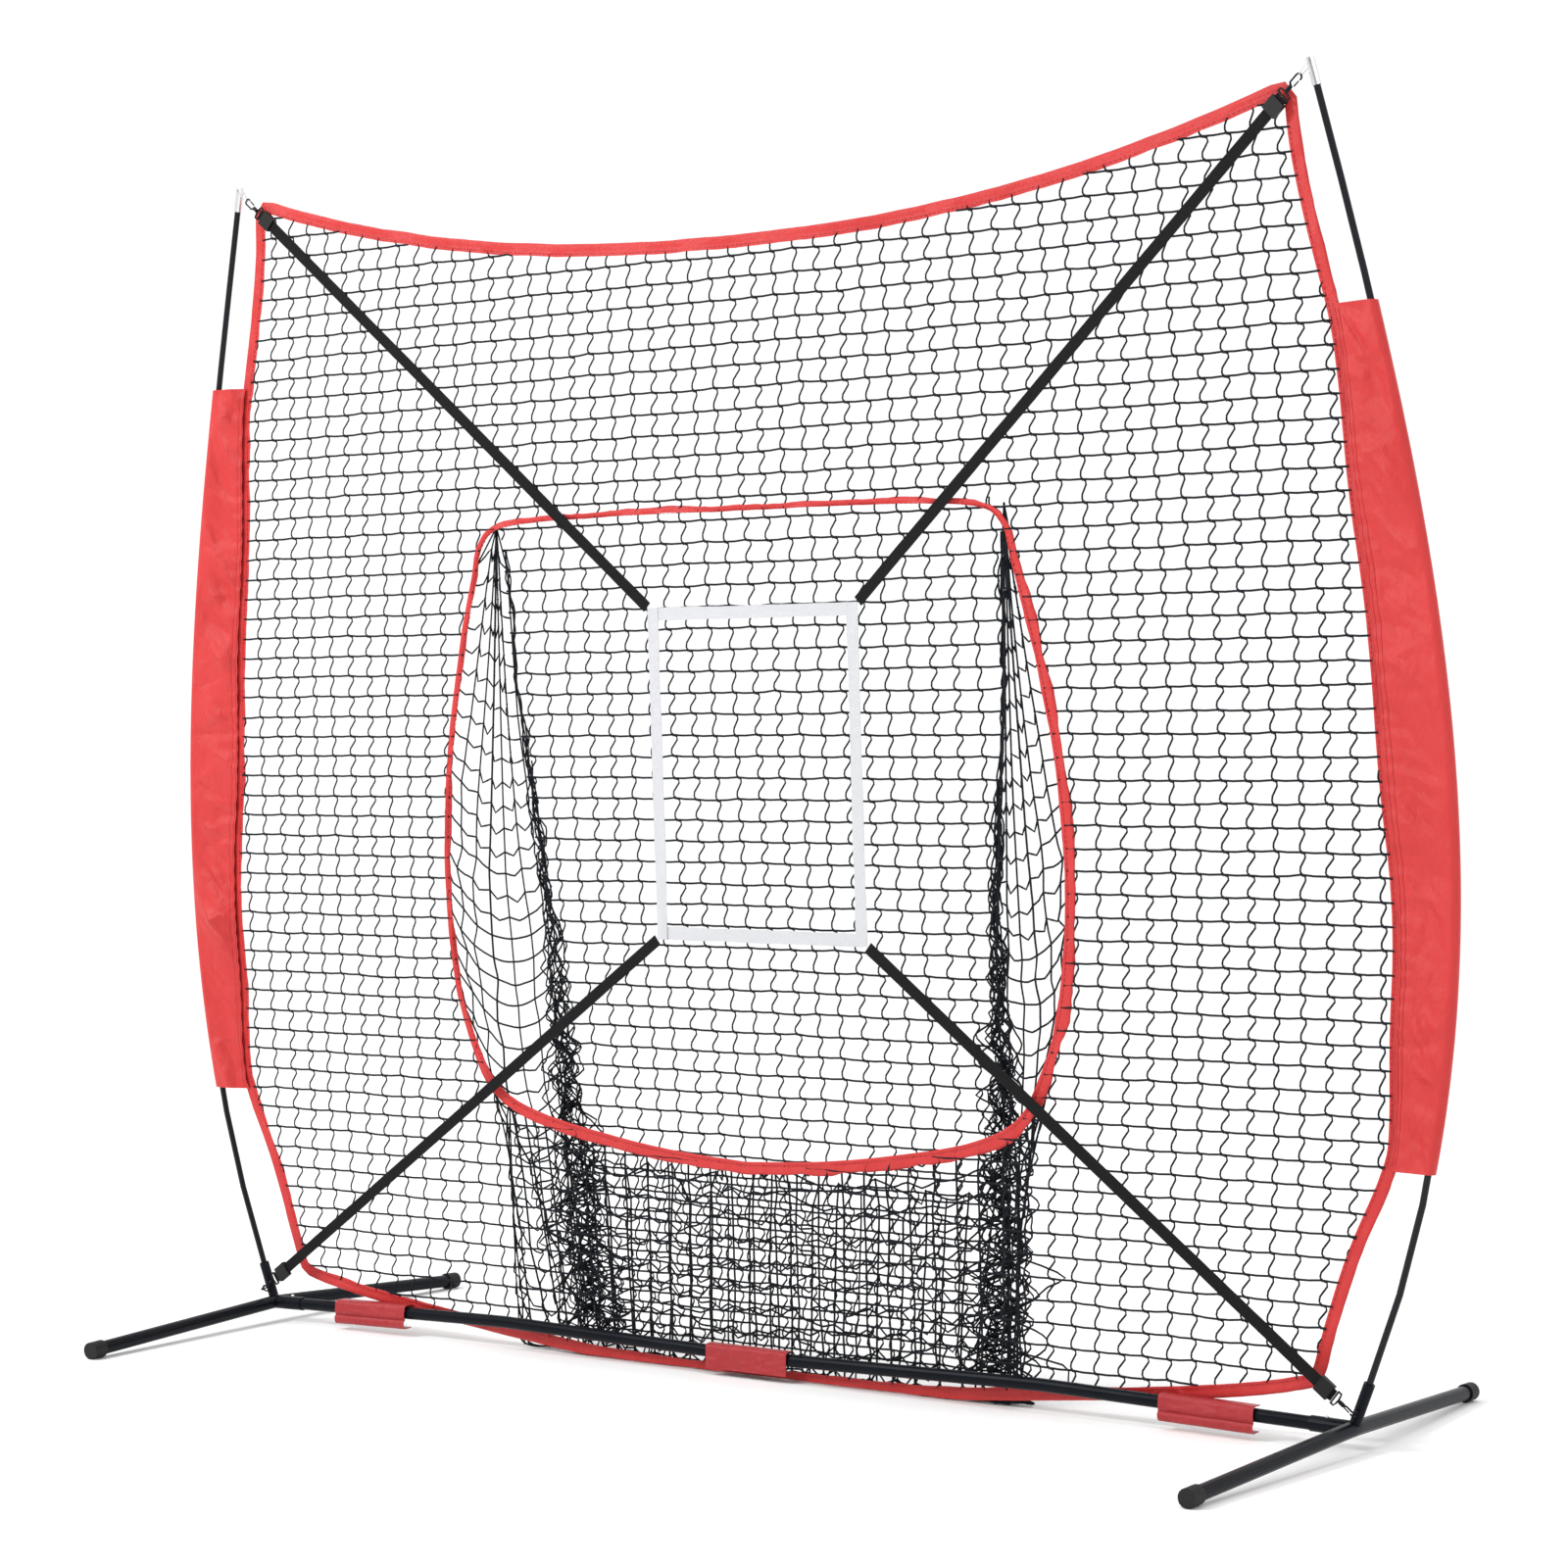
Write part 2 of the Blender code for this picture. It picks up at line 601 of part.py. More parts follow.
def make_net():
    edge = mesh_edge()
    opening = opening_outline()
    centre = (OPENING_SHIFT, 0.95)
    mouth = offset(opening, OPENING_BAND + MOUTH_CLEARANCE)
    outer = offset(edge, -GAP)
    inner = [hit(mouth, centre, point) for point in outer]
    middle = [((a[0] + b[0]) / 2, (a[1] + b[1]) / 2) for a, b in zip(outer, inner)]
    add_object("net_panel", sheet_ring([outer, middle, inner], NET_THICK), NETTING)
    rim = [(x, max(z, BINDING_LOW)) for x, z in offset(edge, BINDING_WIDTH)]
    add_object("edge_binding", sheet_ring([rim, edge], BINDING_THICK), RED)
    band = [offset(opening, OPENING_BAND), offset(opening, -OPENING_BAND)]
    add_object("opening_binding", sheet_ring(band, BINDING_THICK), RED)


def seam_x(rim, z):
    """Outer edge of the side binding, where the sleeve is sewn on."""
    return hit(rim, (0.0, z), (1.0, z))[0] + SEAM_CLEARANCE


def make_sleeve(tag, side):
    """A sewn fabric channel: round over the pole, flat and narrow at the seam with the net."""
    outer, inner = [], []
    count = 19
    rim = offset(mesh_edge(), BINDING_WIDTH)
    for k in range(count):
        z = SLEEVE_HIGH + (SLEEVE_LOW - SLEEVE_HIGH) * k / (count - 1)
        x0, y0 = pole_x(z), lean(z)
        ring_in, ring_out = [], []
        seam = Vector((seam_x(rim, z) - x0, net_y(z) - y0))
        for step in range(12):
            a = math.tau * step / 12
            unit = Vector((math.cos(a), math.sin(a)))
            ring_in.append(unit * SLEEVE_CHANNEL)
            ring_out.append(unit * (SLEEVE_CHANNEL + SLEEVE_SKIN))
        ring_out[6] = seam
        ring_out[5] = seam + Vector((0.0, 0.002))
        ring_out[7] = seam - Vector((0.0, 0.002))
        ring_in[6] = Vector((-SLEEVE_CHANNEL, 0.0))
        outer.append([Vector((side * (x0 + p.x), y0 + p.y, z)) for p in ring_out])
        inner.append([Vector((side * (x0 + p.x), y0 + p.y, z)) for p in ring_in])
    add_object("sleeve_" + tag, loft(outer, inner), RED)


def pocket_point(x_share, z):
    half = interpolate(POCKET, z, 2)
    depth = interpolate(POCKET, z, 1)
    return Vector((x_share * half - 0.01, net_y(z) + depth, z))


def make_pocket():
    opening = opening_outline()
    heights = [row[0] for row in POCKET]
    back = [[pocket_point(s, max(z, 0.030)) for s in (-1.0, -0.5, 0.0, 0.5, 1.0)] for z in heights]
    add_object("pocket_back", grid_sheet(back, POCKET_THICK), NETTING)
    centre_x = OPENING_SHIFT
    for tag, side in SIDES:
        rows = []
        for z in (1.420, 1.200, 1.000, 0.800, 0.600, 0.500):
            mouth_x = hit(opening, (centre_x, z), (centre_x + side, z))[0]
            mouth = Vector((mouth_x - side * 0.012, net_y(z) + BINDING_THICK / 2 + 0.0020, z))
            seam = pocket_point(side, z) + Vector((side * 0.002, 0.0, 0.0))
            rows.append([mouth, seam])
        for z in (0.400, 0.250, 0.040):
            seam = pocket_point(side, z) + Vector((side * 0.002, 0.0, 0.0))
            width = 0.030 + 0.10 * max(0.0, z - 0.04)
            mouth = Vector((seam.x + side * width, net_y(z) + 0.010, z))
            rows.append([mouth, seam])
        add_object("pocket_side_" + tag, grid_sheet(rows, POCKET_THICK), NETTING)
    front = [Vector((0.0, net_y(z) + 0.007, z)) for z in (0.340, 0.180, 0.045)]
    rear = net_y(0.02)
    floor = [Vector((0.0, rear + 0.012, POCKET_LOW + 0.004)), Vector((0.0, rear + 0.082, POCKET_LOW))]
    profile = front + floor
    shift = [Vector((0.0, POCKET_THICK / 2, 0.0))] * 3 + [Vector((0, 0, POCKET_THICK / 2))] * 2
    pairs = list(zip(profile, shift))
    section = [p - s for p, s in pairs] + [p + s for p, s in reversed(pairs)]
    loops = [[Vector((x, p.y, p.z)) for p in section] for x in (-0.44, -0.15, 0.15, 0.42)]
    add_object("pocket_base", loft(loops), NETTING)


# ---- strike zone, straps and their hardware -------------------------------------------------------
def zone_point(x, z):
    low = net_y(ZONE_LOW) - ZONE_FRONT
    high = net_y(ZONE_HIGH) - ZONE_FRONT
    return Vector((x, low + (high - low) * (z - ZONE_LOW) / (ZONE_HIGH - ZONE_LOW), z))


def make_zone():
    def loop(inset):
        x, low, high = ZONE_HALF - inset, ZONE_LOW + inset, ZONE_HIGH - inset
        return [zone_point(ZONE_SHIFT + a, b) for a, b in ((-x, low), (x, low), (x, high), (-x, high))]
    half = Vector((0.0, ZONE_THICK / 2, 0.0))
    outer, inner = loop(0.0), loop(ZONE_TAPE)
    loops = [[p - half for p in outer], [p - half for p in inner], [p + half for p in inner],
             [p + half for p in outer]]
    add_object("strike_zone", loft(loops, closed=True), WHITE)


def strap_ends(top, side):
    """Bearing point of the hook and the corner of the strike zone."""
    z = ZONE_HIGH if top else ZONE_LOW
    corner = zone_point(ZONE_SHIFT + side * ZONE_HALF, z)
    if top:
        return bail_root(side) + bail_direction(side) * BAIL_REACH, corner
    return eye_frame(side)[0], corner


def strap_matrix(top, side):
    """Local X runs up the strap, local Y across it, local Z out of it."""
    start, corner = strap_ends(top, side)
    along = (corner - start).normalized()
    normal = (Vector((0.0, -1.0, 0.0)) + along * along.y).normalized()
    across = normal.cross(along)
    turn = Matrix((along, across, normal)).transposed().to_4x4()
    return Matrix.Translation(start) @ turn


def box_loops(low, high, half_y, half_z):
    return [[Vector((x, y, z)) for y, z in ((-half_y, -half_z), (half_y, -half_z), (half_y, half_z),
                                            (-half_y, half_z))] for x in (low, high)]


def hook_shape():
    """Snap hook body: bored barrel, spine and round nose, open on the gate side."""
    nose = arc((HOOK_CENTRE, 0.0), HOOK_ARC, -90, -285, 8)
    path = [(BARREL_SPAN[1], 0.0), (BARREL_SPAN[0], 0.0), (BARREL_SPAN[0] - 0.0012, -0.0020),
            (BARREL_SPAN[0] - 0.0040, -HOOK_ARC)] + nose
    radii = [BARREL_RADIUS, BARREL_RADIUS, 0.0022, HOOK_ROD] + [HOOK_ROD] * len(nose)
    outer = rings([(x, y, 0.0) for x, y in path], radii, 8, start=(0, 0, 1))
    bore = rings([(BARREL_SPAN[1], 0, 0), (BARREL_SPAN[0] + 0.0012, 0, 0)], BARREL_BORE, 8, start=(0, 0, 1))
    return loft(outer, bore, blind=True)


def gate_shape():
    nose = arc((HOOK_CENTRE, 0.0), HOOK_ARC, -285, -285, 2)[0]
    end = Vector((nose[0] + 0.0024, nose[1] - 0.0006, 0.0))
    path = [Vector((0.0, 0.0, 0.0)), (end - GATE_PIVOT) * 0.5, end - GATE_PIVOT]
    return loft(rings(path, [GATE_RADIUS, GATE_RADIUS, GATE_RADIUS * 0.9], 6))


def ring_shape():
    """Stamped swivel ring: a stem that turns in the hook's barrel, and a slot for the webbing."""
    start = BARREL_SPAN[0] + 0.0018
    outer = [(start, -0.0015), (0.0300, -0.0015), (0.0315, -0.0080), (0.0330, -0.0125), (0.0405, -0.0125),
             (0.0405, 0.0125), (0.0330, 0.0125), (0.0315, 0.0080), (0.0300, 0.0015), (start, 0.0015)]
    inner = [(0.0330, -0.0010), (0.0332, -0.0020), (0.0336, -0.0080), (0.0345, -0.0105), (0.0380, -0.0105),
             (0.0380, 0.0105), (0.0345, 0.0105), (0.0336, 0.0080), (0.0332, 0.0020), (0.0330, 0.0010)]
    loops = [[Vector((x, y, z)) for x, y in outline]
             for outline, z in ((outer, -0.0013), (inner, -0.0013), (inner, 0.0013), (outer, 0.0013))]
    return loft(loops, closed=True)


def make_strap(tag, top, side):
    matrix = strap_matrix(top, side)
    start, corner = strap_ends(top, side)
    length = (corner - start).length
    strap = loft(box_loops(STRAP_START, length - 0.0016, STRAP_WIDTH / 2, STRAP_THICK / 2))
    add_object("strap_" + tag, strap, WEBBING, matrix=matrix)
    turned = matrix if top else matrix @ Matrix.Rotation(math.radians(90), 4, "X")
    add_object("hook_" + tag, hook_shape(), BLACK_METAL, matrix=turned)
    add_object("gate_" + tag, gate_shape(), BLACK_METAL, matrix=turned @ Matrix.Translation(GATE_PIVOT))
    add_object("swivel_ring_" + tag, ring_shape(), BLACK_METAL, matrix=matrix)
    low, high = SLIDER_SPAN
    outer = box_loops(low, high, 0.0135, 0.0045)
    slot = box_loops(low, high, STRAP_WIDTH / 2 + 0.0005, STRAP_THICK / 2 + 0.0005)
    add_object("slider_" + tag, loft(outer, slot), BLACK_PLASTIC, matrix=matrix)


# ---- hook-and-loop flaps round the crossbar -------------------------------------------------------
def flap_pivot(x, low):
    """The hinge line of a flap: above and behind the bar at the sides, below and before it in the middle."""
    if low:
        return Vector((x, -FLAP_FRONT, 0.0120))
    return Vector((x, 0.0105, bar_z(x) + BAR_RADIUS + 0.0035))


def make_flap(name, x, low):
    """A strip bent round the front of the crossbar, as a section swept along X."""
    pivot = flap_pivot(x, low)
    slope = (bar_z(abs(x) + 0.05) - bar_z(abs(x) - 0.05)) / 0.1 if x else 0.0
    slope *= math.copysign(1.0, x) if x else 0.0
    front = -FLAP_FRONT
    if low:
        line = [(pivot.y, pivot.z), (front, 0.0500), (front + 0.005, 0.0535), (0.006, 0.0535)]
    else:
        foot = bar_z(x) - BAR_RADIUS - 0.0165
        line = [(pivot.y, pivot.z), (front + 0.004, pivot.z), (front, pivot.z - 0.004),
                (front - 0.001, foot + 0.004), (front + 0.002, foot), (0.006, foot + 0.001)]
    inner = offset_line(line, FLAP_THICK)
    section = line + list(reversed(inner))
    loops = [[Vector((x + s * FLAP_HALF, y, z + s * FLAP_HALF * slope)) for y, z in section] for s in (-1, 1)]
    add_object(name, loft(loops), RED, origin=pivot)


def offset_line(line, amount):
    """A parallel copy of an open line in a plane, on its right-hand side."""
    out = []
    for i, point in enumerate(line):
        a, b = Vector(line[max(0, i - 1)]), Vector(line[min(len(line) - 1, i + 1)])
        along = (b - a).normalized()
        out.append((point[0] + along.y * amount, point[1] - along.x * amount))
    return out


def make_flaps():
    make_flap("flap_L", -FLAP_SIDE_X, False)
    make_flap("flap_C", -0.017, True)
    make_flap("flap_R", FLAP_SIDE_X, False)


def main():
    clear_scene()
    make_base()
    for tag, side in SIDES:
        make_pole(tag, side)
        make_sleeve(tag, side)
    make_net()
    make_pocket()
    make_zone()
    for tag, top, side in (("TL", True, -1), ("TR", True, 1), ("BL", False, -1), ("BR", False, 1)):
        make_strap(tag, top, side)
    make_flaps()


main()
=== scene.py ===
"""Looks for the pitching target net: knotted mesh, sewn tape, sleeves, webbing and finishes."""
import math

import bpy
import numpy as np
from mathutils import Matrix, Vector


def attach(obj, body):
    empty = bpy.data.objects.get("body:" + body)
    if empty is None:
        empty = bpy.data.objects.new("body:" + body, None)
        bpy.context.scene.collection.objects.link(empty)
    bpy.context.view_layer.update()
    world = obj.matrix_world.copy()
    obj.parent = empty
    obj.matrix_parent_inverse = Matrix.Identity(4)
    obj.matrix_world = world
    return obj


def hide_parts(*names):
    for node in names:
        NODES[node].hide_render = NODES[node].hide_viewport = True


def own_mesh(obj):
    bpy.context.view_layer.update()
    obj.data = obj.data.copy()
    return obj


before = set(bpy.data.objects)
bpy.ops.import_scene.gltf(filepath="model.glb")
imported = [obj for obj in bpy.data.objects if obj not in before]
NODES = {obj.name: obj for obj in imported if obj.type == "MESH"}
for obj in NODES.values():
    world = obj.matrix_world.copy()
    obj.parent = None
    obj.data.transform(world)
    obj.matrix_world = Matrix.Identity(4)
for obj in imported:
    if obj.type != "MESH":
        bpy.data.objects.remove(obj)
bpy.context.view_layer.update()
ROOT = "frame"
SIDES = (("L", -1), ("R", 1))

# ---- driving values: the CAD's surfaces and outlines, then the sizes of the soft pieces ---------------
LEAN_LINEAR, LEAN_SQUARE = 0.012, 0.0198
NET_BACK_OFFSET, NET_BAR_OFFSET, NET_BAR_HEIGHT = 0.008, 0.012, 0.25
TOP_SAG = (1.935, 0.1347, 2.2)
SIDE_EDGE = ((1.046, 2.084), (1.052, 2.000), (1.0745, 1.880), (1.106, 1.745), (1.118, 1.650), (1.132, 1.463),
             (1.154, 1.280), (1.170, 1.025), (1.184, 0.885), (1.186, 0.770), (1.179, 0.640), (1.176, 0.500),
             (1.163, 0.436), (1.104, 0.304), (1.068, 0.200), (1.041, 0.112))
BOTTOM_EDGE = ((1.041, 0.112), (0.960, 0.0925), (0.800, 0.068), (0.610, 0.046), (0.406, 0.025),
               (0.250, 0.018), (0.000, 0.016))
OPENING = ((0.000, 1.4975), (0.300, 1.497), (0.490, 1.487), (0.545, 1.455), (0.565, 1.390), (0.600, 1.260),
           (0.635, 1.080), (0.651, 0.890), (0.640, 0.700), (0.610, 0.580), (0.555, 0.475), (0.460, 0.425),
           (0.300, 0.392), (0.150, 0.372), (0.000, 0.362))
OPENING_SHIFT = -0.026
POCKET = ((1.490, 0.004, 0.522), (1.440, 0.010, 0.516), (1.200, 0.017, 0.508), (1.000, 0.024, 0.488),
          (0.800, 0.036, 0.470), (0.600, 0.054, 0.466), (0.400, 0.072, 0.462), (0.200, 0.086, 0.452),
          (0.012, 0.094, 0.440))
POCKET_SHIFT = -0.01
BINDING_WIDTH, BINDING_LOW = 0.022, 0.0015
MOUTH_HALF = 0.0109                 # half the width of the tape round the pocket's mouth, lying flat
EDGE_PUFF, MOUTH_PUFF = 0.0032, 0.0036          # how far a folded tape puffs out
# One ply of a folded tape in section: share of its half width, share of its puff.
TAPE_PLY = ((-1.0, 0.16), (-0.62, 0.42), (-0.50, 0.22), (0.0, 0.55), (0.62, 0.62), (0.92, 0.50))
STITCH_PITCH, STITCH_LENGTH = 0.009, 0.0055
STITCH_SIDE, STITCH_OUT = 0.0045, 0.0019        # off the tape's outline and off the net's plane
MESH_PITCH_X, MESH_PITCH_Z = 0.045, 0.037
MESH_BOW, MESH_BOW_Z = 0.035, 0.95  # upright strings come in by this share at the floor, from this height
TUCK = 0.005                        # how far the cut strings run under the tape
STRING_RADIUS = 0.0018
KNOT_SIZE = STRING_RADIUS * 1.6
KNOT_SIDE = 0.0012                  # a knot sits this far to the right of the grid's crossing
KNOT_SHAKE = 0.0008                 # how far knots are off the grid, as a standard deviation
ROW_FRONT = 0.0009                  # level strings run this far in front of the upright ones
ROW_SAG = 0.0010                    # and hang this far down between two knots
LIE_HEIGHT = 0.0038                 # height of a string's middle where its knots lie on the floor
# How a slack upright string bends in one cell: share of the cell's height, share of its lean.
CELL_SHAPE = ((0.0, 0.0), (0.16, -0.22), (0.34, -0.12), (0.56, 0.46), (0.76, 0.98), (0.92, 0.90))
CELL_LEANS = (0.0108, 0.0076)       # how far it leans: two strings in four by the first, two by the second
GUSSET_DROP = 0.055                 # the strings of a gusset slope down from the rim to the seam
GUSSET_TOP = (0.528, 1.484)         # half width and height of the corners where a gusset's strings meet
RIM_FOOT = 0.44                     # below this height the front edge of a gusset is loose
HEAP_HALF, HEAP_HIGH = 0.45, 0.34   # half width and height of the spare netting
# Of a gathered seam: its strings, their spread at the top, and what the floor adds to it.
BUNDLE_STRINGS, BUNDLE_THIN, BUNDLE_GAIN = 20, 0.0030, 0.034

SLEEVE_LOW, SLEEVE_HIGH = 0.438, 1.763
SLEEVE_SEAM = -0.008                # the sleeve starts this far inside the outer edge of the tape
SLEEVE_SWELL = 0.0056               # the ply stands this far off the tape where it is sewn on
SLEEVE_THICK = 0.0008
CHANNEL_RADIUS = 0.0106             # of the fold of cloth round the pole
CREASES = ((0.0085, 0.040, 16), (0.0066, 0.014, 30), (0.0034, 0.007, 46))      # height, width, how many
SEAM_LINES = (0.04, 0.125)          # where the two rows of stitching run, as a share of the sleeve's width
PUCKER, GROOVE, GROOVE_WIDTH = 0.0012, 0.0012, 0.02     # of the cloth at its seam and along the stitching
PLY_POINTS, SLEEVE_ROWS = 25, 330   # of one ply of a sleeve
SOCKET_TOP = Vector((1.1440, -0.0015, 0.1080))
POLE_TOP = Vector((1.0946, -0.1157, 2.1335))
POLE_BASE_SLOPE, POLE_TOP_SLOPE = 0.404, -0.242

ZONE_HALF, ZONE_SHIFT, ZONE_LOW, ZONE_HIGH = 0.2175, 0.018, 0.753, 1.331
ZONE_TAPE, ZONE_FRONT = 0.022, 0.007
ZONE_THICK = 0.0009
STRAP_THICK = 0.0012
STRAP_TAGS = ("TL", "TR", "BL", "BR")

BAR_RADIUS = 0.0111
BAR_BEND_X, BAR_BEND_Z, BAR_CENTRE_Z, JUNCTION_X, JUNCTION_Z = 0.56, 0.0475, 0.037, 1.116, 0.0355
FLAP_HALF, FLAP_THICK, FLAP_SIDE_X, FLAP_MIDDLE_X = 0.084, 0.0014, 0.868, -0.017
FLAP_FRONT = BAR_RADIUS + 0.0028
FLAP_OVER, FLAP_UNDER = 0.0035, 0.0165          # it reaches this far above and below the bar
FLAP_FOLD = 0.62                    # how far down its front it is folded, as a share

STEP = 0.012                        # spacing of the points along the tapes
SETTLE_STEPS, FRAME_TIME, PULLS = 150, 1 / 90, 14
GRAVITY = 9.8
SHORTEST, PUSH = 0.8, 0.25          # a string shorter than this share of its length pushes back this hard
AIR_DRAG, FLOOR_DRAG = 0.90, 0.3    # what is left of the speed after a step, in the air and on the floor
SHAKE_KNOTS, SHAKE_STRINGS = 0.0035, 0.007      # how far the net is shaken at its start

FLOOR_REACH, FLOOR_Z = 60.0, -0.0005
CAMERA_LENS, CAMERA_PLACE = 80.25, (3.4166, -4.9493, 1.0803)
CAMERA_DOWN, CAMERA_TURN = 0.5225, 34.196       # degrees


# ---- materials --------------------------------------------------------------------------------------
def new_material(name, colour, roughness, metallic=0.0, specular=0.5):
    """A Principled material with its node tree and its shader."""
    made = bpy.data.materials.new(name)
    made.use_nodes = True
    shader = made.node_tree.nodes["Principled BSDF"]
    shader.inputs["Base Color"].default_value = (*colour, 1.0)
    shader.inputs["Roughness"].default_value = roughness
    shader.inputs["Metallic"].default_value = metallic
    shader.inputs["Specular IOR Level"].default_value = specular
    return made, made.node_tree, shader


def noise(tree, scale, detail=3.0, stretch=None):
    """Noise in the object's own metres; stretch is (x, y, z) scales that draw it out."""
    where = tree.nodes.new("ShaderNodeTexCoord")
    made = tree.nodes.new("ShaderNodeTexNoise")
    made.inputs["Scale"].default_value = scale
    made.inputs["Detail"].default_value = detail
    source = where.outputs["Object"]
    if stretch:
        mapping = tree.nodes.new("ShaderNodeMapping")
        mapping.inputs["Scale"].default_value = stretch
        tree.links.new(source, mapping.inputs["Vector"])
        source = mapping.outputs["Vector"]
    tree.links.new(source, made.inputs["Vector"])
    return made.outputs["Fac"]


def wave(tree, scale, direction):
    """Fine ribs of a weave."""
    where = tree.nodes.new("ShaderNodeTexCoord")
    made = tree.nodes.new("ShaderNodeTexWave")
    made.bands_direction = direction
    made.inputs["Scale"].default_value = scale
    tree.links.new(where.outputs["Object"], made.inputs["Vector"])
    return made.outputs["Fac"]


def vary_colour(tree, shader, factor, dark, light):
    """Mixes two colours over the surface."""
    ramp = tree.nodes.new("ShaderNodeMix")
    ramp.data_type = "RGBA"
    ramp.inputs[6].default_value = (*dark, 1.0)
    ramp.inputs[7].default_value = (*light, 1.0)
    tree.links.new(factor, ramp.inputs[0])
    tree.links.new(ramp.outputs[2], shader.inputs["Base Color"])


def vary_roughness(tree, shader, factor, low, high):
    spread = tree.nodes.new("ShaderNodeMapRange")
    spread.inputs["To Min"].default_value = low
    spread.inputs["To Max"].default_value = high
    tree.links.new(factor, spread.inputs["Value"])
    tree.links.new(spread.outputs["Result"], shader.inputs["Roughness"])


def bump(tree, shader, heights, strength, distance, over=None):
    """Adds up height signals into one bump, on top of an earlier one if it is given."""
    total = heights[0]
    for other in heights[1:]:
        add = tree.nodes.new("ShaderNodeMath")
        add.operation = "ADD"
        tree.links.new(total, add.inputs[0])
        tree.links.new(other, add.inputs[1])
        total = add.outputs[0]
    made = tree.nodes.new("ShaderNodeBump")
    made.inputs["Strength"].default_value = strength
    made.inputs["Distance"].default_value = distance
    tree.links.new(total, made.inputs["Height"])
    if over:
        tree.links.new(over.outputs["Normal"], made.inputs["Normal"])
    tree.links.new(made.outputs["Normal"], shader.inputs["Normal"])
    return made


def red_fabric(name, dark, light):
    made, tree, shader = new_material(name, light, 0.36, specular=0.30)
    vary_colour(tree, shader, noise(tree, 9.0, 4.0), dark, light)
    vary_roughness(tree, shader, noise(tree, 40.0), 0.28, 0.42)
    crumple = bump(tree, shader, [noise(tree, 13.0, 5.0, stretch=(1.0, 1.0, 0.6))], 0.85, 0.018)
    bump(tree, shader, [wave(tree, 520.0, "X"), wave(tree, 520.0, "Z")], 0.25, 0.0004, crumple)
    return made


def webbing(name, dark, light):
    made, tree, shader = new_material(name, light, 0.78, specular=0.12)
    vary_colour(tree, shader, noise(tree, 420.0, 2.0), dark, light)
    bump(tree, shader, [wave(tree, 330.0, "X"), wave(tree, 330.0, "Z"), noise(tree, 800.0)], 0.45, 0.0005)
    return made


def finish(name, colour, roughness, metallic=0.0, specular=0.5, tint=None, rough=None, grain=None):
    """A finish with noise in it. tint: scale, dark, light. rough: scale, stretch, low, high roughness.
    grain: scale, stretch, strength and distance of the bump."""
    made, tree, shader = new_material(name, colour, roughness, metallic, specular)
    if tint:
        vary_colour(tree, shader, noise(tree, tint[0]), tint[1], tint[2])
    if rough:
        vary_roughness(tree, shader, noise(tree, rough[0], stretch=rough[1]), rough[2], rough[3])
    if grain:
        bump(tree, shader, [noise(tree, grain[0], stretch=grain[1])], grain[2], grain[3])
    return made


MAT = {"red": red_fabric("red_polyester_weave", (0.50, 0.024, 0.024), (0.61, 0.042, 0.041)),
       # The flaps are the same red weave as the rest; this darker copy is painted shade for the dimmer light
       # low down by the floor.
       "flap_red": red_fabric("red_weave_painted_shade", (0.34, 0.021, 0.026), (0.42, 0.032, 0.037)),
       "steel": finish("black_powder_coat_fine", (0.006, 0.007, 0.010), 0.26, specular=0.08,
                       tint=(14.0, (0.004, 0.005, 0.008), (0.009, 0.011, 0.015)),
                       rough=(55.0, None, 0.18, 0.30), grain=(900.0, None, 0.12, 0.0002)),
       "glass": finish("black_fibreglass_rod", (0.005, 0.006, 0.009), 0.2, specular=0.22,
                       rough=(30.0, (9.0, 9.0, 1.0), 0.18, 0.34),
                       grain=(300.0, (4.0, 4.0, 0.2), 0.08, 0.0002)),
       "rubber": finish("black_rubber_moulded", (0.009, 0.009, 0.010), 0.62, specular=0.3,
                        rough=(120.0, None, 0.52, 0.75), grain=(700.0, None, 0.3, 0.0003)),
       "silver": finish("plated_steel_drawn", (0.78, 0.79, 0.81), 0.22, 1.0,
                        rough=(60.0, (8.0, 8.0, 1.0), 0.14, 0.32),
                        grain=(400.0, (3.0, 3.0, 0.3), 0.05, 0.0002)),
       "metal": finish("black_enamel_metal", (0.006, 0.006, 0.008), 0.40, specular=0.14,
                       rough=(200.0, None, 0.36, 0.52)),
       "plastic": finish("black_moulded_plastic", (0.007, 0.007, 0.008), 0.40, specular=0.25,
                         rough=(220.0, None, 0.38, 0.55), grain=(900.0, None, 0.15, 0.0002)),
       "twine": finish("black_knotted_twine", (0.012, 0.014, 0.017), 0.72, specular=0.12,
                       tint=(160.0, (0.006, 0.008, 0.011), (0.016, 0.019, 0.024)),
                       grain=(1400.0, None, 0.5, 0.0004)),
       "stitch": finish("red_stitching_thread", (0.30, 0.018, 0.024), 0.6, specular=0.2,
                        grain=(1500.0, None, 0.3, 0.0002)),
       "black_web": webbing("black_elastic_webbing", (0.005, 0.005, 0.006), (0.014, 0.014, 0.015)),
       "white_web": webbing("white_woven_tape", (0.56, 0.57, 0.59), (0.66, 0.67, 0.69))}
# The material of each CAD node that stays, by how its name starts.
NODE_MATERIAL = (
    ("foot_tube", "steel"), ("crossbar", "steel"), ("pole_socket", "steel"), ("pole_ferrule", "steel"),
    ("pole_lower", "glass"), ("pole_upper", "glass"), ("end_cap", "rubber"), ("pole_tip", "silver"),
    ("tip_bail", "silver"), ("spring_button", "silver"), ("button_spring", "silver"), ("hook", "metal"),
    ("gate", "metal"), ("swivel", "metal"), ("slider", "plastic"), ("strap", "black_web"),
    ("strike_zone", "white_web"), ("net", "twine"), ("pocket", "twine"), ("", "red"))


# ---- shape helpers ----------------------------------------------------------------------------------
def lean(z):
    """Where the poles are, front to back, at a height."""
    return -(LEAN_LINEAR * z + LEAN_SQUARE * z * z)


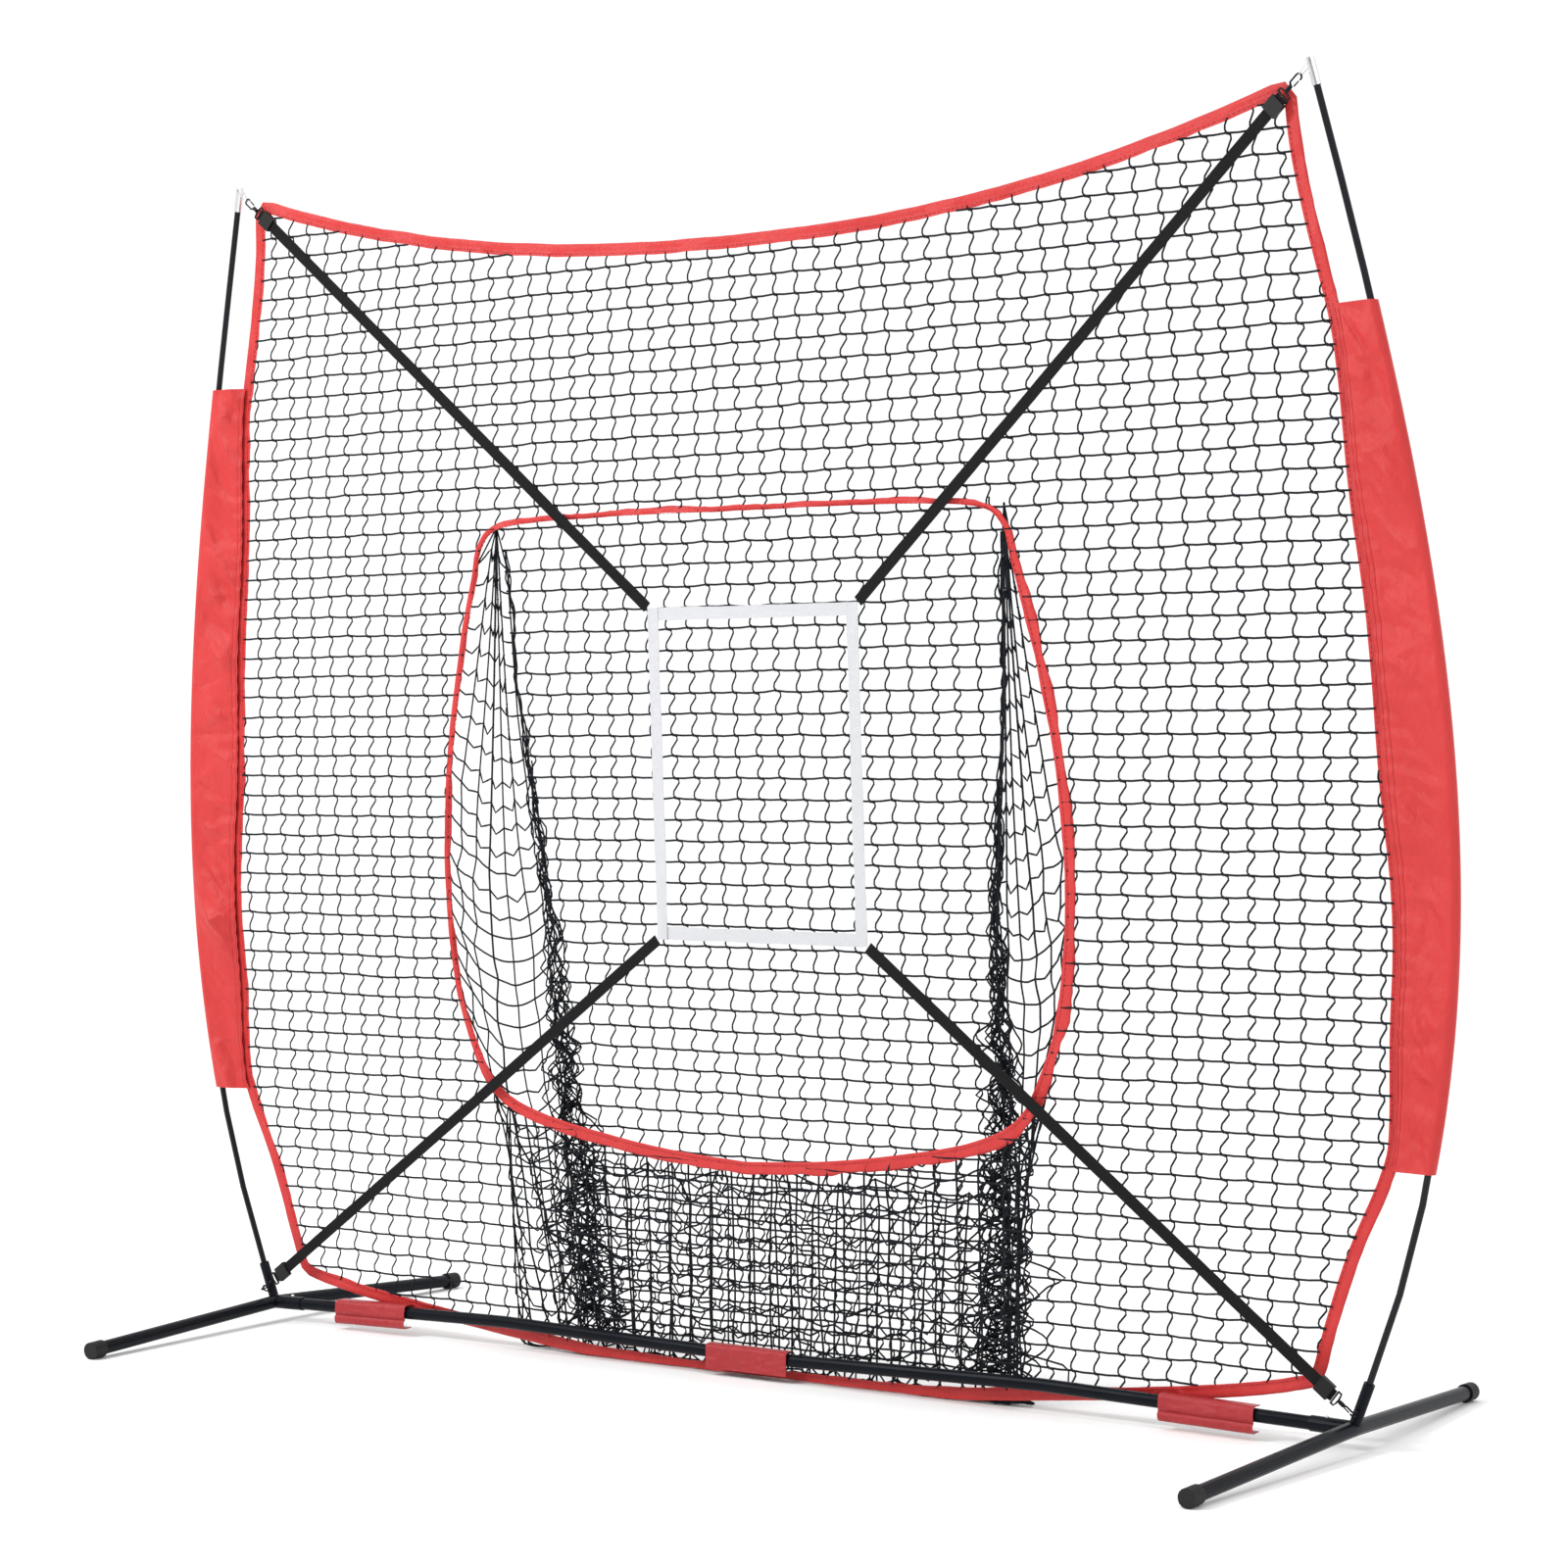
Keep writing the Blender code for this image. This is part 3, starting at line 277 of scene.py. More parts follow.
def net_y(z):
    """Where the net's plane is, front to back, at a height."""
    low = max(0.0, 1.0 - z / NET_BAR_HEIGHT)
    return lean(z) + NET_BACK_OFFSET + NET_BAR_OFFSET * low * low


def curve_points(points, steps):
    """A Catmull-Rom curve through the points."""
    p = np.array(points, float)
    p = np.vstack([p[0], p, p[-1]])
    out = []
    for i in range(1, len(p) - 2):
        for s in range(steps):
            t = s / steps
            out.append(0.5 * (2 * p[i] + (p[i + 1] - p[i - 1]) * t
                              + (2 * p[i - 1] - 5 * p[i] + 4 * p[i + 1] - p[i + 2]) * t ** 2
                              + (3 * p[i] - p[i - 1] - 3 * p[i + 1] + p[i + 2]) * t ** 3))
    out.append(p[-2])
    return np.array(out)


def from_table(table, z, column):
    """A column of a table at a height; its rows start at the top."""
    rows = np.array(table)[::-1]
    return float(np.interp(z, rows[:, 0], rows[:, column]))


def mirrored(half, shift=0.0):
    """A closed outline from its right half."""
    left = half[1:-1][::-1] * np.array([-1.0, 1.0])
    return np.vstack([half, left]) + np.array([shift, 0.0])


def even_spacing(outline, step, closed=True):
    """Points along an outline, a fixed distance apart."""
    pts = np.vstack([outline, outline[:1]]) if closed else np.asarray(outline)
    run = np.concatenate([[0.0], np.cumsum(np.linalg.norm(np.diff(pts, axis=0), axis=1))])
    count = max(4, int(round(run[-1] / step)))
    where = np.linspace(0.0, run[-1], count + 1)
    if closed:
        where = where[:-1]
    return np.column_stack([np.interp(where, run, pts[:, k]) for k in range(pts.shape[1])])


def normals_2d(outline):
    """Outward normals of a closed clockwise outline."""
    ahead = np.roll(outline, -1, axis=0) - np.roll(outline, 1, axis=0)
    ahead /= np.linalg.norm(ahead, axis=1)[:, None]
    return np.column_stack([-ahead[:, 1], ahead[:, 0]])


def place(name, data):
    """A new object in the scene."""
    thing = bpy.data.objects.new(name, data)
    bpy.context.scene.collection.objects.link(thing)
    return thing


def mesh_object(name, vertices, faces, material, body=ROOT, angle=60.0):
    """A new piece: it rides on a CAD body and takes its material."""
    mesh = bpy.data.meshes.new(name)
    corners = [tuple(v) for v in np.asarray(vertices, float)]
    mesh.from_pydata(corners, [], [tuple(int(i) for i in f) for f in faces])
    mesh.shade_smooth()
    mesh.set_sharp_from_angle(angle=math.radians(angle))
    mesh.materials.append(MAT[material])
    thing = place(name, mesh)
    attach(thing, body)
    return thing


def grid_faces(rows, columns, wrap_rows=False, wrap_columns=False):
    """Quads of a grid of points, closed round if asked."""
    faces = []
    for r in range(rows if wrap_rows else rows - 1):
        for c in range(columns if wrap_columns else columns - 1):
            a, b = r * columns + c, r * columns + (c + 1) % columns
            d = ((r + 1) % rows) * columns
            faces.append((a, b, d + (c + 1) % columns, d + c))
    return faces


def tubes(paths, radius, sides):
    """Vertices and faces of many thin tubes with closed ends, one for each path."""
    vertices, faces, base = [], [], 0
    turn = np.arange(sides) * math.tau / sides
    for path in paths:
        path = np.asarray(path, float)
        tangent = np.gradient(path, axis=0)
        tangent /= np.maximum(np.linalg.norm(tangent, axis=1), 1e-9)[:, None]
        guide = np.array([0.0, 1.0, 0.0]) if abs(tangent[:, 1]).max() < 0.9 else np.array([0.33, 0.21, 0.92])
        side = np.cross(tangent, guide)
        side /= np.maximum(np.linalg.norm(side, axis=1), 1e-9)[:, None]
        up = np.cross(side, tangent)
        ring = (path[:, None, :] + radius * (np.cos(turn)[None, :, None] * side[:, None, :]
                                             + np.sin(turn)[None, :, None] * up[:, None, :]))
        vertices.append(ring.reshape(-1, 3))
        n = len(path)
        faces += [tuple(base + i for i in f) for f in grid_faces(n, sides, wrap_columns=True)]
        faces.append(tuple(base + k for k in reversed(range(sides))))
        faces.append(tuple(base + (n - 1) * sides + k for k in range(sides)))
        base += n * sides
    return np.vstack(vertices), faces


def knots(points, size):
    """Small octahedra, a little taller than wide, one at each crossing."""
    shape = np.array([(1, 0, 0), (0, 1, 0), (-1, 0, 0), (0, -1, 0), (0, 0, 1.25), (0, 0, -1.25)]) * size
    sides = [(0, 1, 4), (1, 2, 4), (2, 3, 4), (3, 0, 4), (1, 0, 5), (2, 1, 5), (3, 2, 5), (0, 3, 5)]
    points = np.asarray(points)
    vertices = (points[:, None, :] + shape[None]).reshape(-1, 3)
    faces = [tuple(6 * i + k for k in f) for i in range(len(points)) for f in sides]
    return vertices, faces


def join(*shapes):
    """Several (vertices, faces) as one."""
    vertices, faces, base = [], [], 0
    for v, f in shapes:
        vertices.append(v)
        faces += [tuple(base + i for i in face) for face in f]
        base += len(v)
    return np.vstack(vertices), faces


# ---- outlines ---------------------------------------------------------------------------------------
def top_edge():
    low, gain, power = TOP_SAG
    return [(x, low + gain * x ** power) for x in np.linspace(0.0, 1.0, 14)]


def half_edge():
    side = curve_points(SIDE_EDGE, 5)
    low = curve_points(BOTTOM_EDGE, 5)
    return np.vstack([np.array(top_edge()), side, low[1:]])


EDGE = even_spacing(mirrored(half_edge()), STEP)
MOUTH = even_spacing(mirrored(curve_points(OPENING, 8), OPENING_SHIFT), STEP)


def inside(outline, x, z):
    """Crossing test: is the point inside the closed outline."""
    a, b = outline, np.roll(outline, -1, axis=0)
    over = (a[:, 1] > z) != (b[:, 1] > z)
    span = np.where(b[:, 1] == a[:, 1], 1e-12, b[:, 1] - a[:, 1])
    cross = a[:, 0] + (z - a[:, 1]) / span * (b[:, 0] - a[:, 0])
    return bool(np.count_nonzero(over & (x < cross)) % 2)


def pocket_half(z):
    return from_table(POCKET, z, 2)


def pocket_depth(z):
    return from_table(POCKET, z, 1)


# ---- the flat mesh ----------------------------------------------------------------------------------
def last_inside(good, bad, keep):
    """The furthest point from good towards bad that is still kept, and a little more to go under the tape."""
    low, high = 0.0, 1.0
    for _ in range(6):
        middle = (low + high) / 2
        where = [a + (b - a) * middle for a, b in zip(good, bad)]
        low, high = (middle, high) if keep(where[0], where[1]) else (low, middle)
    step = math.dist(good, bad)
    share = low + (TUCK / step if step > 1e-6 else 0.0)
    return [a + (b - a) * share for a, b in zip(good, bad)]


def runs_of(points, keep):
    """Cuts a line of (x, z, back) points to the parts that are kept, each reaching under the tape."""
    good = [keep(p[0], p[1]) for p in points]
    out, run = [], []
    for i, point in enumerate(points):
        if good[i]:
            if not run and i > 0:
                run.append(last_inside(point, points[i - 1], keep))
            run.append(point)
        elif run:
            run.append(last_inside(points[i - 1], point, keep))
            out.append(run)
            run = []
    if run:
        out.append(run)
    return [r for r in out if len(r) > 1]


def mesh_knot(i, j):
    """Where upright string i crosses level string j. The upright ones follow the side edges a little."""
    level = j * MESH_PITCH_Z
    return i * MESH_PITCH_X * (1.0 - MESH_BOW * ((level - MESH_BOW_Z) / MESH_BOW_Z) ** 2), level


def cell_lean(i):
    """How far a slack upright string leans over in each cell before it is pulled back at the knot."""
    return CELL_LEANS[0] if i % 4 in (0, 1) else CELL_LEANS[1]


def string_grid(columns, levels, keep, depth, seed):
    """Lines and knots of a mesh: taut level strings, slack upright ones that bend alike in every cell."""
    jitter = np.random.default_rng(seed).normal(0.0, KNOT_SHAKE, (len(levels) + 1, len(columns) + 1, 2))
    lines, crossings = [], []

    def knot(a, b):
        x, z = mesh_knot(columns[0] + a, levels[0] + b)
        return x + jitter[b, a, 0], z + jitter[b, a, 1]

    def add(points):
        for run in runs_of(points, keep):
            lines.append([(x, depth(x, z) + back, z) for x, z, back in run])

    for a in range(len(columns)):
        points = []
        for b in range(len(levels)):
            (x0, z0), (x1, z1) = knot(a, b), knot(a, b + 1)
            for t, share in CELL_SHAPE:
                points.append((x0 + (x1 - x0) * t + cell_lean(columns[a]) * share, z0 + (z1 - z0) * t, 0.0))
        add(points)
    for b in range(len(levels)):
        points = []
        for a in range(len(columns)):
            (x0, z0), (x1, z1) = knot(a, b), knot(a + 1, b)
            points.append((x0, z0, -ROW_FRONT))
            points.append(((x0 + x1) / 2, (z0 + z1) / 2 - ROW_SAG, -ROW_FRONT))
        add(points)
        row = [knot(a, b) for a in range(len(columns))]
        crossings += [(x + KNOT_SIDE, depth(x, z), z) for x, z in row if keep(x, z)]
    return lines, crossings


def flat_mesh():
    """Strings and knots of the front panel, cut to the edge binding and round the pocket opening."""
    lines, crossings = string_grid(range(-27, 28), range(0, 60),
                                   lambda x, z: inside(EDGE, x, z) and not inside(MOUTH, x, z),
                                   lambda x, z: net_y(z), 11)
    strings = tubes(lines, STRING_RADIUS, 4)
    tied = knots(crossings, KNOT_SIZE)
    thing = mesh_object("mesh_strings", *join(strings, tied), "twine", angle=80.0)
    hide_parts("net_panel")


# ---- the pocket: a string net let fall under gravity ------------------------------------------------
def rim_x(z, side):
    """Where the pocket's rim is at a height, on one side."""
    return next(p[0] for p, q in zip(MOUTH, np.roll(MOUTH, -1, axis=0))
                if (p[1] - z) * (q[1] - z) <= 0 and (p[0] - OPENING_SHIFT) * side > 0)


def rim_low(x):
    """Height of the lower rim at a place across."""
    low = MOUTH[MOUTH[:, 1] < 0.60]
    return float(low[np.argmin(abs(low[:, 0] - x)), 1])


def pull(a, b, move_a, move_b, rest):
    """Moves two sets of points apart or together until no string between them is too long or too short."""
    gap = b - a
    length = np.maximum(np.linalg.norm(gap, axis=-1, keepdims=True), 1e-9)
    wrong = length - rest
    short = length - SHORTEST * rest
    wrong = np.where(wrong > 0, wrong, np.where(short < 0, PUSH * short, 0.0))
    step = gap / length * wrong / np.maximum(move_a + move_b, 1e-9)
    return a + step * move_a, b - step * move_b


def settle(knot, free, rest_x, rest_z, steps, wall, seed):
    """Lets a string net fall. knot is rows x columns of points, free is 0 where a knot is sewn on."""
    local = np.random.default_rng(seed)
    rows, columns, _ = knot.shape
    knot = knot + local.normal(0, SHAKE_KNOTS, knot.shape) * free[..., None]
    rest_x = rest_x * local.uniform(0.80, 1.14, (rows, columns - 1, 1))
    rest_z = rest_z * local.uniform(0.88, 1.10, (rows - 1, columns, 1))
    flat = (knot[:, :-1] + knot[:, 1:]) / 2 + local.normal(0, SHAKE_STRINGS, (rows, columns - 1, 3))
    stand = (knot[:-1] + knot[1:]) / 2 + local.normal(0, SHAKE_STRINGS, (rows - 1, columns, 3))
    move = free[..., None].astype(float)
    one_h, one_v = np.ones((rows, columns - 1, 1)), np.ones((rows - 1, columns, 1))
    points = [knot, flat, stand]
    speed = [np.zeros_like(p) for p in points]
    loose = [move, one_h, one_v]
    fall = np.array([0, 0, -GRAVITY * FRAME_TIME * FRAME_TIME])
    for _ in range(steps):
        before = [p.copy() for p in points]
        for k in range(3):
            points[k] = points[k] + (speed[k] * FRAME_TIME + fall) * loose[k]
        for _ in range(PULLS):
            k, h, v = points
            k[:, :-1], h = pull(k[:, :-1], h, move[:, :-1], one_h, rest_x / 2)
            h, k[:, 1:] = pull(h, k[:, 1:], one_h, move[:, 1:], rest_x / 2)
            k[:-1], v = pull(k[:-1], v, move[:-1], one_v, rest_z / 2)
            v, k[1:] = pull(v, k[1:], one_v, move[1:], rest_z / 2)
            points = [k, h, v]
        for k in range(3):
            p = points[k]
            low = p[..., 2] < LIE_HEIGHT
            p[..., 2] = np.where(low, LIE_HEIGHT, p[..., 2])
            front = wall(p[..., 2])
            p[..., 1] = np.where((p[..., 1] < front) & (loose[k][..., 0] > 0), front, p[..., 1])
            speed[k] = (p - before[k]) / FRAME_TIME * AIR_DRAG
            speed[k][low] *= FLOOR_DRAG
    return points


def net_lines(points):
    """The strings of a settled net: every row and every column as a smooth line."""
    k, h, v = points
    rows, columns, _ = k.shape
    lines = []
    for r in range(rows):
        line = np.empty((2 * columns - 1, 3))
        line[0::2], line[1::2] = k[r], h[r]
        lines.append(curve_points(line, 2))
    for c in range(columns):
        line = np.empty((2 * rows - 1, 3))
        line[0::2], line[1::2] = k[:, c], v[:, c]
        lines.append(curve_points(line, 2))
    return lines


def behind_net(gap):
    """A wall that keeps strings a gap behind the net's plane."""
    def wall(z):
        low = np.maximum(0.0, 1.0 - z / NET_BAR_HEIGHT)
        return lean(z) + NET_BACK_OFFSET + NET_BAR_OFFSET * low ** 2 + gap
    return wall


def back_depth(x, z):
    """Where the back of the pocket is, front to back."""
    return net_y(z) + 0.004 + pocket_depth(z)


def in_back(x, z):
    """Is a point on the pocket's back."""
    return 0.030 < z < 1.492 and abs(x - POCKET_SHIFT) < pocket_half(z)


def back_panel():
    """The taut back of the pocket: the same mesh as the front, cut along the two seams."""
    return string_grid(range(-12, 13), range(1, 41), in_back, back_depth, 12)


def blank_net(rows, cells):
    """Knots not placed yet, and how free each is: all of them."""
    return np.zeros((rows, cells + 1, 3)), np.ones((rows, cells + 1))


def gusset_points(side):
    """Start of one side of the pocket, between its rim and the back seam."""
    heights = np.arange(1.455, 0.05, -MESH_PITCH_Z)
    cells = 6
    knot, free = blank_net(len(heights), cells)
    for r, z in enumerate(heights):
        seam = POCKET_SHIFT + side * pocket_half(z)
        rim = rim_x(max(z, RIM_FOOT), side)
        if z < RIM_FOOT:
            rim = seam + side * (0.375 * z - 0.065 if side < 0 else 0.05 + 0.11 * z)
        for c in range(cells + 1):
            t = c / cells
            drop = GUSSET_DROP * t * min(1.0, (1.47 - z) / 0.3)
            knot[r, c] = (rim + (seam - rim) * t, net_y(z) + 0.005 + pocket_depth(z) * t, max(0.01, z - drop))
        free[r, cells] = 0
        if z > RIM_FOOT:
            free[r, 0] = 0
    knot[0] = (POCKET_SHIFT + side * GUSSET_TOP[0], net_y(GUSSET_TOP[1]) + 0.006, GUSSET_TOP[1])
    free[0] = 0
    return knot, free


def heap_points(seed):
    """Start of the spare netting that lies slack behind the front wall and on the floor."""
    cells, rows = 20, 11
    local = np.random.default_rng(seed)
    knot, free = blank_net(rows, cells)
    for c in range(cells + 1):
        x = POCKET_SHIFT + (c / cells * 2 - 1) * HEAP_HALF
        top = HEAP_HIGH + 0.02 * local.uniform(-1, 1)
        for r in range(rows):
            z = max(0.008, top - top * r / (rows - 4))
            knot[r, c] = (x + 0.01 * local.uniform(-1, 1), net_y(z) + 0.050 + 0.02 * local.uniform(-1, 1), z)
    free[0] = 0
    return knot, free


def pocket_front_points():
    """Start of the bag's front wall: hung from the lower rim, with length to spare on the floor."""
    cells, rows, seams = 24, 15, 0.55
    knot, free = blank_net(rows, cells)
    for c in range(cells + 1):
        x = OPENING_SHIFT - seams + 2 * seams * c / cells
        top = rim_low(x) if abs(x - OPENING_SHIFT) < 0.52 else 0.455
        for r in range(rows):
            z = max(0.006, top - (top - 0.010) * r / (rows - 4))
            narrow = 1.0 - (0.34 if x < OPENING_SHIFT else 0.04) * (1.0 - z / max(top, 0.1))
            knot[r, c] = (OPENING_SHIFT + (x - OPENING_SHIFT) * narrow, net_y(z) + 0.020 + 0.012 * (r % 2), z)
    free[0] = 0
    free[:, 0] = free[:, -1] = 0
    return knot, free


def seam_bundles():
    """The gathered netting at the two back seams: strings twisted together, in loose loops low down."""
    lines = []
    local = np.random.default_rng(23)
    for side in (-1, 1):
        for k in range(BUNDLE_STRINGS):
            top = 1.44 if k < 3 else local.uniform(0.45, 1.15)
            heights = np.arange(top, 0.012, -0.016)
            low = np.clip((1.15 - heights) / 1.0, 0, 1)
            spread = BUNDLE_THIN + BUNDLE_GAIN * low ** 1.6
            push, lift = (np.convolve(local.normal(0, 1, len(heights) + 2), np.ones(3) / 1.9, "valid")
                          for _ in range(2))
            line = []
            for z, wide, p, q in zip(heights, spread, push, lift):
                x = POCKET_SHIFT + side * (pocket_half(z) - 0.3 * wide) + p * wide
                y = net_y(z) + 0.006 + pocket_depth(z) + q * wide * 0.5
                line.append((x, max(y, net_y(z) + 0.006), max(z, LIE_HEIGHT)))
            lines.append(curve_points(line, 2))
    return lines


def pocket_net():
    """Sides, front wall and slack of the bag settle under gravity; the back hangs taut."""
    steps = SETTLE_STEPS
    lines, crossings = back_panel()
    lines += seam_bundles()
    starts = [(gusset_points(-1), MESH_PITCH_X * 0.92, 0.003),
              (gusset_points(1), MESH_PITCH_X * 0.86, 0.003),
              (pocket_front_points(), MESH_PITCH_X * 1.12, 0.006),
              (heap_points(9), MESH_PITCH_X * 1.2, 0.012)]
    for k, ((start, free), across, gap) in enumerate(starts):
        net = settle(start, free, across, MESH_PITCH_Z * 1.04, steps, behind_net(gap), 30 + k)
        lines += net_lines(net)
        crossings += [tuple(p) for p in net[0].reshape(-1, 3)]
    tied = knots(crossings, KNOT_SIZE)
    thing = mesh_object("pocket_strings", *join(tubes(lines, STRING_RADIUS, 4), tied), "twine", angle=80.0)
    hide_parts("pocket_back", "pocket_side_L", "pocket_side_R", "pocket_base")


# ---- sewn red tape ----------------------------------------------------------------------------------
def full_width(x, z):
    """The tape has its whole width everywhere."""
    return 1.0


def clip(value):
    return min(1.0, max(0.0, value))


def rolled_width(x, z):
    """The opening's tape is rolled up along its top and on the left, and lies open on the right and below."""
    right = clip((x - OPENING_SHIFT) / 0.45)
    high = clip((z - 1.30) / 0.16)
    open_share = 0.55 + 0.45 * max(right, clip((0.62 - z) / 0.2))
    return open_share * (1.0 - high) + 0.46 * high


def tape_ring(outline, half_width, inward, seed, thick, ripple, width_at=full_width):
    """A folded tape round a closed outline: a puffed fold at one edge, two flat plies sewn together."""
    line = even_spacing(outline, STEP)
    normal = normals_2d(line)
    count = len(line)
    local = np.random.default_rng(seed)

    def waver(size):
        """Noise that closes on itself, smoothed over a number of points."""
        raw = np.tile(local.normal(0, 1, count), 3)
        return np.convolve(raw, np.ones(size) / size, "same")[count:2 * count]
    wobble, puff = waver(5), waver(3)
    section = [*TAPE_PLY, (1.0, 0.0)] + [(across, -out) for across, out in reversed(TAPE_PLY)]
    rings = []
    for p, n, w, q in zip(line, normal, wobble, puff):
        ring = []
        width = half_width * width_at(p[0], p[1]) * (1.0 + 0.10 * ripple * (w if ripple > 1 else 0.0))
        for across, out in section:
            away = inward + across * width + 0.0010 * w * ripple
            x, z = p[0] + n[0] * away, max(BINDING_LOW + 0.0004, p[1] + n[1] * away)
            y = net_y(z) + out * thick * (1.0 + 0.35 * q * (abs(out) > 0.3)) + 0.0016 * w * ripple * across
            ring.append((x, y, z))
        rings.append(ring)
    return np.array(rings).reshape(-1, 3), grid_faces(count, len(section), True, True)


def bindings():
    """The tapes round the net and round the pocket's mouth, each at its finished width."""
    half = BINDING_WIDTH / 2
    edge = mesh_object("edge_tape", *tape_ring(EDGE, half, half, 31, EDGE_PUFF, 1.0), "red")
    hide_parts("edge_binding")
    shape = tape_ring(MOUTH, MOUTH_HALF, 0.0, 32, MOUTH_PUFF, 1.8, rolled_width)
    mouth = mesh_object("opening_tape", *shape, "red")
    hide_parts("opening_binding")


# ---- sleeves ----------------------------------------------------------------------------------------
def pole_x(z):
    """Where a bowed pole is, sideways, at a height."""
    span = POLE_TOP.z - SOCKET_TOP.z
    u = (z - SOCKET_TOP.z) / span
    start = 2 * u ** 3 - 3 * u ** 2 + 1
    return (start * SOCKET_TOP.x + (u ** 3 - 2 * u ** 2 + u) * span * POLE_BASE_SLOPE
            + (1 - start) * POLE_TOP.x + (u ** 3 - u ** 2) * span * POLE_TOP_SLOPE)


def edge_x(z):
    """Outer edge of the side binding at a height."""
    rows = EDGE[EDGE[:, 0] > 0.9]
    order = np.argsort(rows[:, 1])
    return float(np.interp(z, rows[order, 1], rows[order, 0])) + BINDING_WIDTH


def creases(u, v, seed, slope):
    """Folds pulled slantwise across a sleeve: a sharp ridge each, strong in one place and gone elsewhere."""
    local = np.random.default_rng(seed)
    total = np.zeros_like(u)
    for height, length, count in CREASES:
        for _ in range(count):
            at_u, at_v = local.uniform(0.0, 1.0), local.uniform(v.min(), v.max())
            slant = slope * local.uniform(0.2, 1.9) if local.random() < 0.75 else local.uniform(-0.5, 0.5)
            along = (v - at_v) + slant * 0.08 * (u - at_u)
            fade = np.exp(-((u - at_u) / local.uniform(0.2, 0.6)) ** 2)
            total += height * local.choice((-1, 1)) * np.exp(-np.abs(along / length) ** 1.3) * fade
    return total


def ply(seam, out, up, width, share, fold, z):
    """Points of one ply across the sleeve at a height, from the binding to the rod."""
    swell = SLEEVE_SWELL + (CHANNEL_RADIUS - SLEEVE_SWELL) * np.sin(0.5 * math.pi * share) ** 1.6
    pucker = PUCKER * (1 + math.sin(z * 190 + 3 * math.sin(z * 17))) * (1 - share) ** 3
    groove = sum(GROOVE * np.exp(-((share - at) / GROOVE_WIDTH) ** 2) for at in SEAM_LINES)
    off = swell + fold * (0.12 + 0.88 * np.sin(math.pi * share)) + pucker - groove
    off = np.maximum(off, 0.0020 + 0.0088 * share ** 4)
    return [seam + out * (width * s) + up * o for s, o in zip(share, off)]


def sleeve(side):
    """A fabric channel hemmed round the pole: two plies sewn to the binding, loose round the rod."""
    zs = np.linspace(SLEEVE_HIGH, SLEEVE_LOW, SLEEVE_ROWS)
    share = np.linspace(0.0, 1.0, PLY_POINTS)
    grid_u, grid_v = np.meshgrid(share, zs)
    front, rear = creases(grid_u, grid_v, 41 + side, side), creases(grid_u, grid_v, 47 + side, side)
    rows = []
    for k, z in enumerate(zs):
        pole, seam = Vector((pole_x(z), lean(z))), Vector((edge_x(z) + SLEEVE_SEAM, net_y(z)))
        out = (pole - seam).normalized()
        up = Vector((-out.y, out.x))
        width = (pole - seam).length
        row = ply(seam, out, -up, width, share, front[k], z)
        for a in (-60, -30, 0, 30, 60):
            ahead = CHANNEL_RADIUS * math.cos(math.radians(a))
            beside = CHANNEL_RADIUS * math.sin(math.radians(a))
            row.append(pole + out * ahead + up * beside)
        row += ply(seam, out, up, width, share, rear[k], z)[::-1]
        rows.append([(side * p.x, p.y, z) for p in row])
    return np.array(rows)


def cross_normals(points):
    """Unit normals of a grid of points."""
    du = np.gradient(points, axis=1)
    dv = np.gradient(points, axis=0)
    n = np.cross(du, dv)
    return n / np.maximum(np.linalg.norm(n, axis=2, keepdims=True), 1e-9)


def thicken(points, thick):
    """A closed shell round a grid of points: both faces and the rim between them."""
    rows, columns, _ = points.shape
    n = cross_normals(points)
    a, b = points + n * thick / 2, points - n * thick / 2
    vertices = np.vstack([a.reshape(-1, 3), b.reshape(-1, 3)])
    top = grid_faces(rows, columns)
    base = rows * columns
    faces = top + [tuple(base + i for i in reversed(f)) for f in top]
    rim = ([c for c in range(columns)] + [r * columns + columns - 1 for r in range(1, rows)]
           + [(rows - 1) * columns + c for c in range(columns - 2, -1, -1)]
           + [r * columns for r in range(rows - 2, 0, -1)])
    for i, j in zip(rim, rim[1:] + rim[:1]):
        faces.append((j, i, base + i, base + j))
    return vertices, faces


def seam_thread(tag, points, share):
    """A line of stitching down the front of a sleeve."""
    column = int(round(share * (PLY_POINTS - 1)))
    line = points[2:-2, column] + np.array([0.0, -0.0004, 0.0])
    mesh_object("sleeve_thread_{}_{}".format(tag, column), *tubes([line], 0.0006, 4), "stitch")


def sleeves():
    for tag, side in SIDES:
        points = sleeve(side)
        for share in SEAM_LINES:
            seam_thread(tag, points, share)
        if side < 0:
            points = points[:, ::-1]
        thing = mesh_object("sleeve_cloth_" + tag, *thicken(points, SLEEVE_THICK), "red")
        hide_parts("sleeve_" + tag)


# ---- tapes, straps and flaps ------------------------------------------------------------------------
def ribbon(line, across, out, width, thick, seed, wave, columns):
    """A woven strip along a line of points: its edges and its face waver a little."""
    local = np.random.default_rng(seed)
    line = np.array(line, float)
    count = len(line)

    def waver(size):
        raw = np.convolve(local.normal(0, 1, count + 8), np.ones(9) / 9, "valid")
        return raw * size * 2.6
    edge_a, edge_b, lift = waver(wave * 0.7), waver(wave * 0.7), waver(wave)
    share = np.linspace(-1.0, 1.0, columns)
    rows = []
    for k in range(count):
        half = np.where(share > 0, width / 2 + edge_a[k], width / 2 + edge_b[k])
        bow = lift[k] * (1 - share ** 2) * 0.6 + lift[k] * 0.4
        rows.append(line[k] + np.outer(share * half, across) + np.outer(bow, out))
    return thicken(np.array(rows), thick)


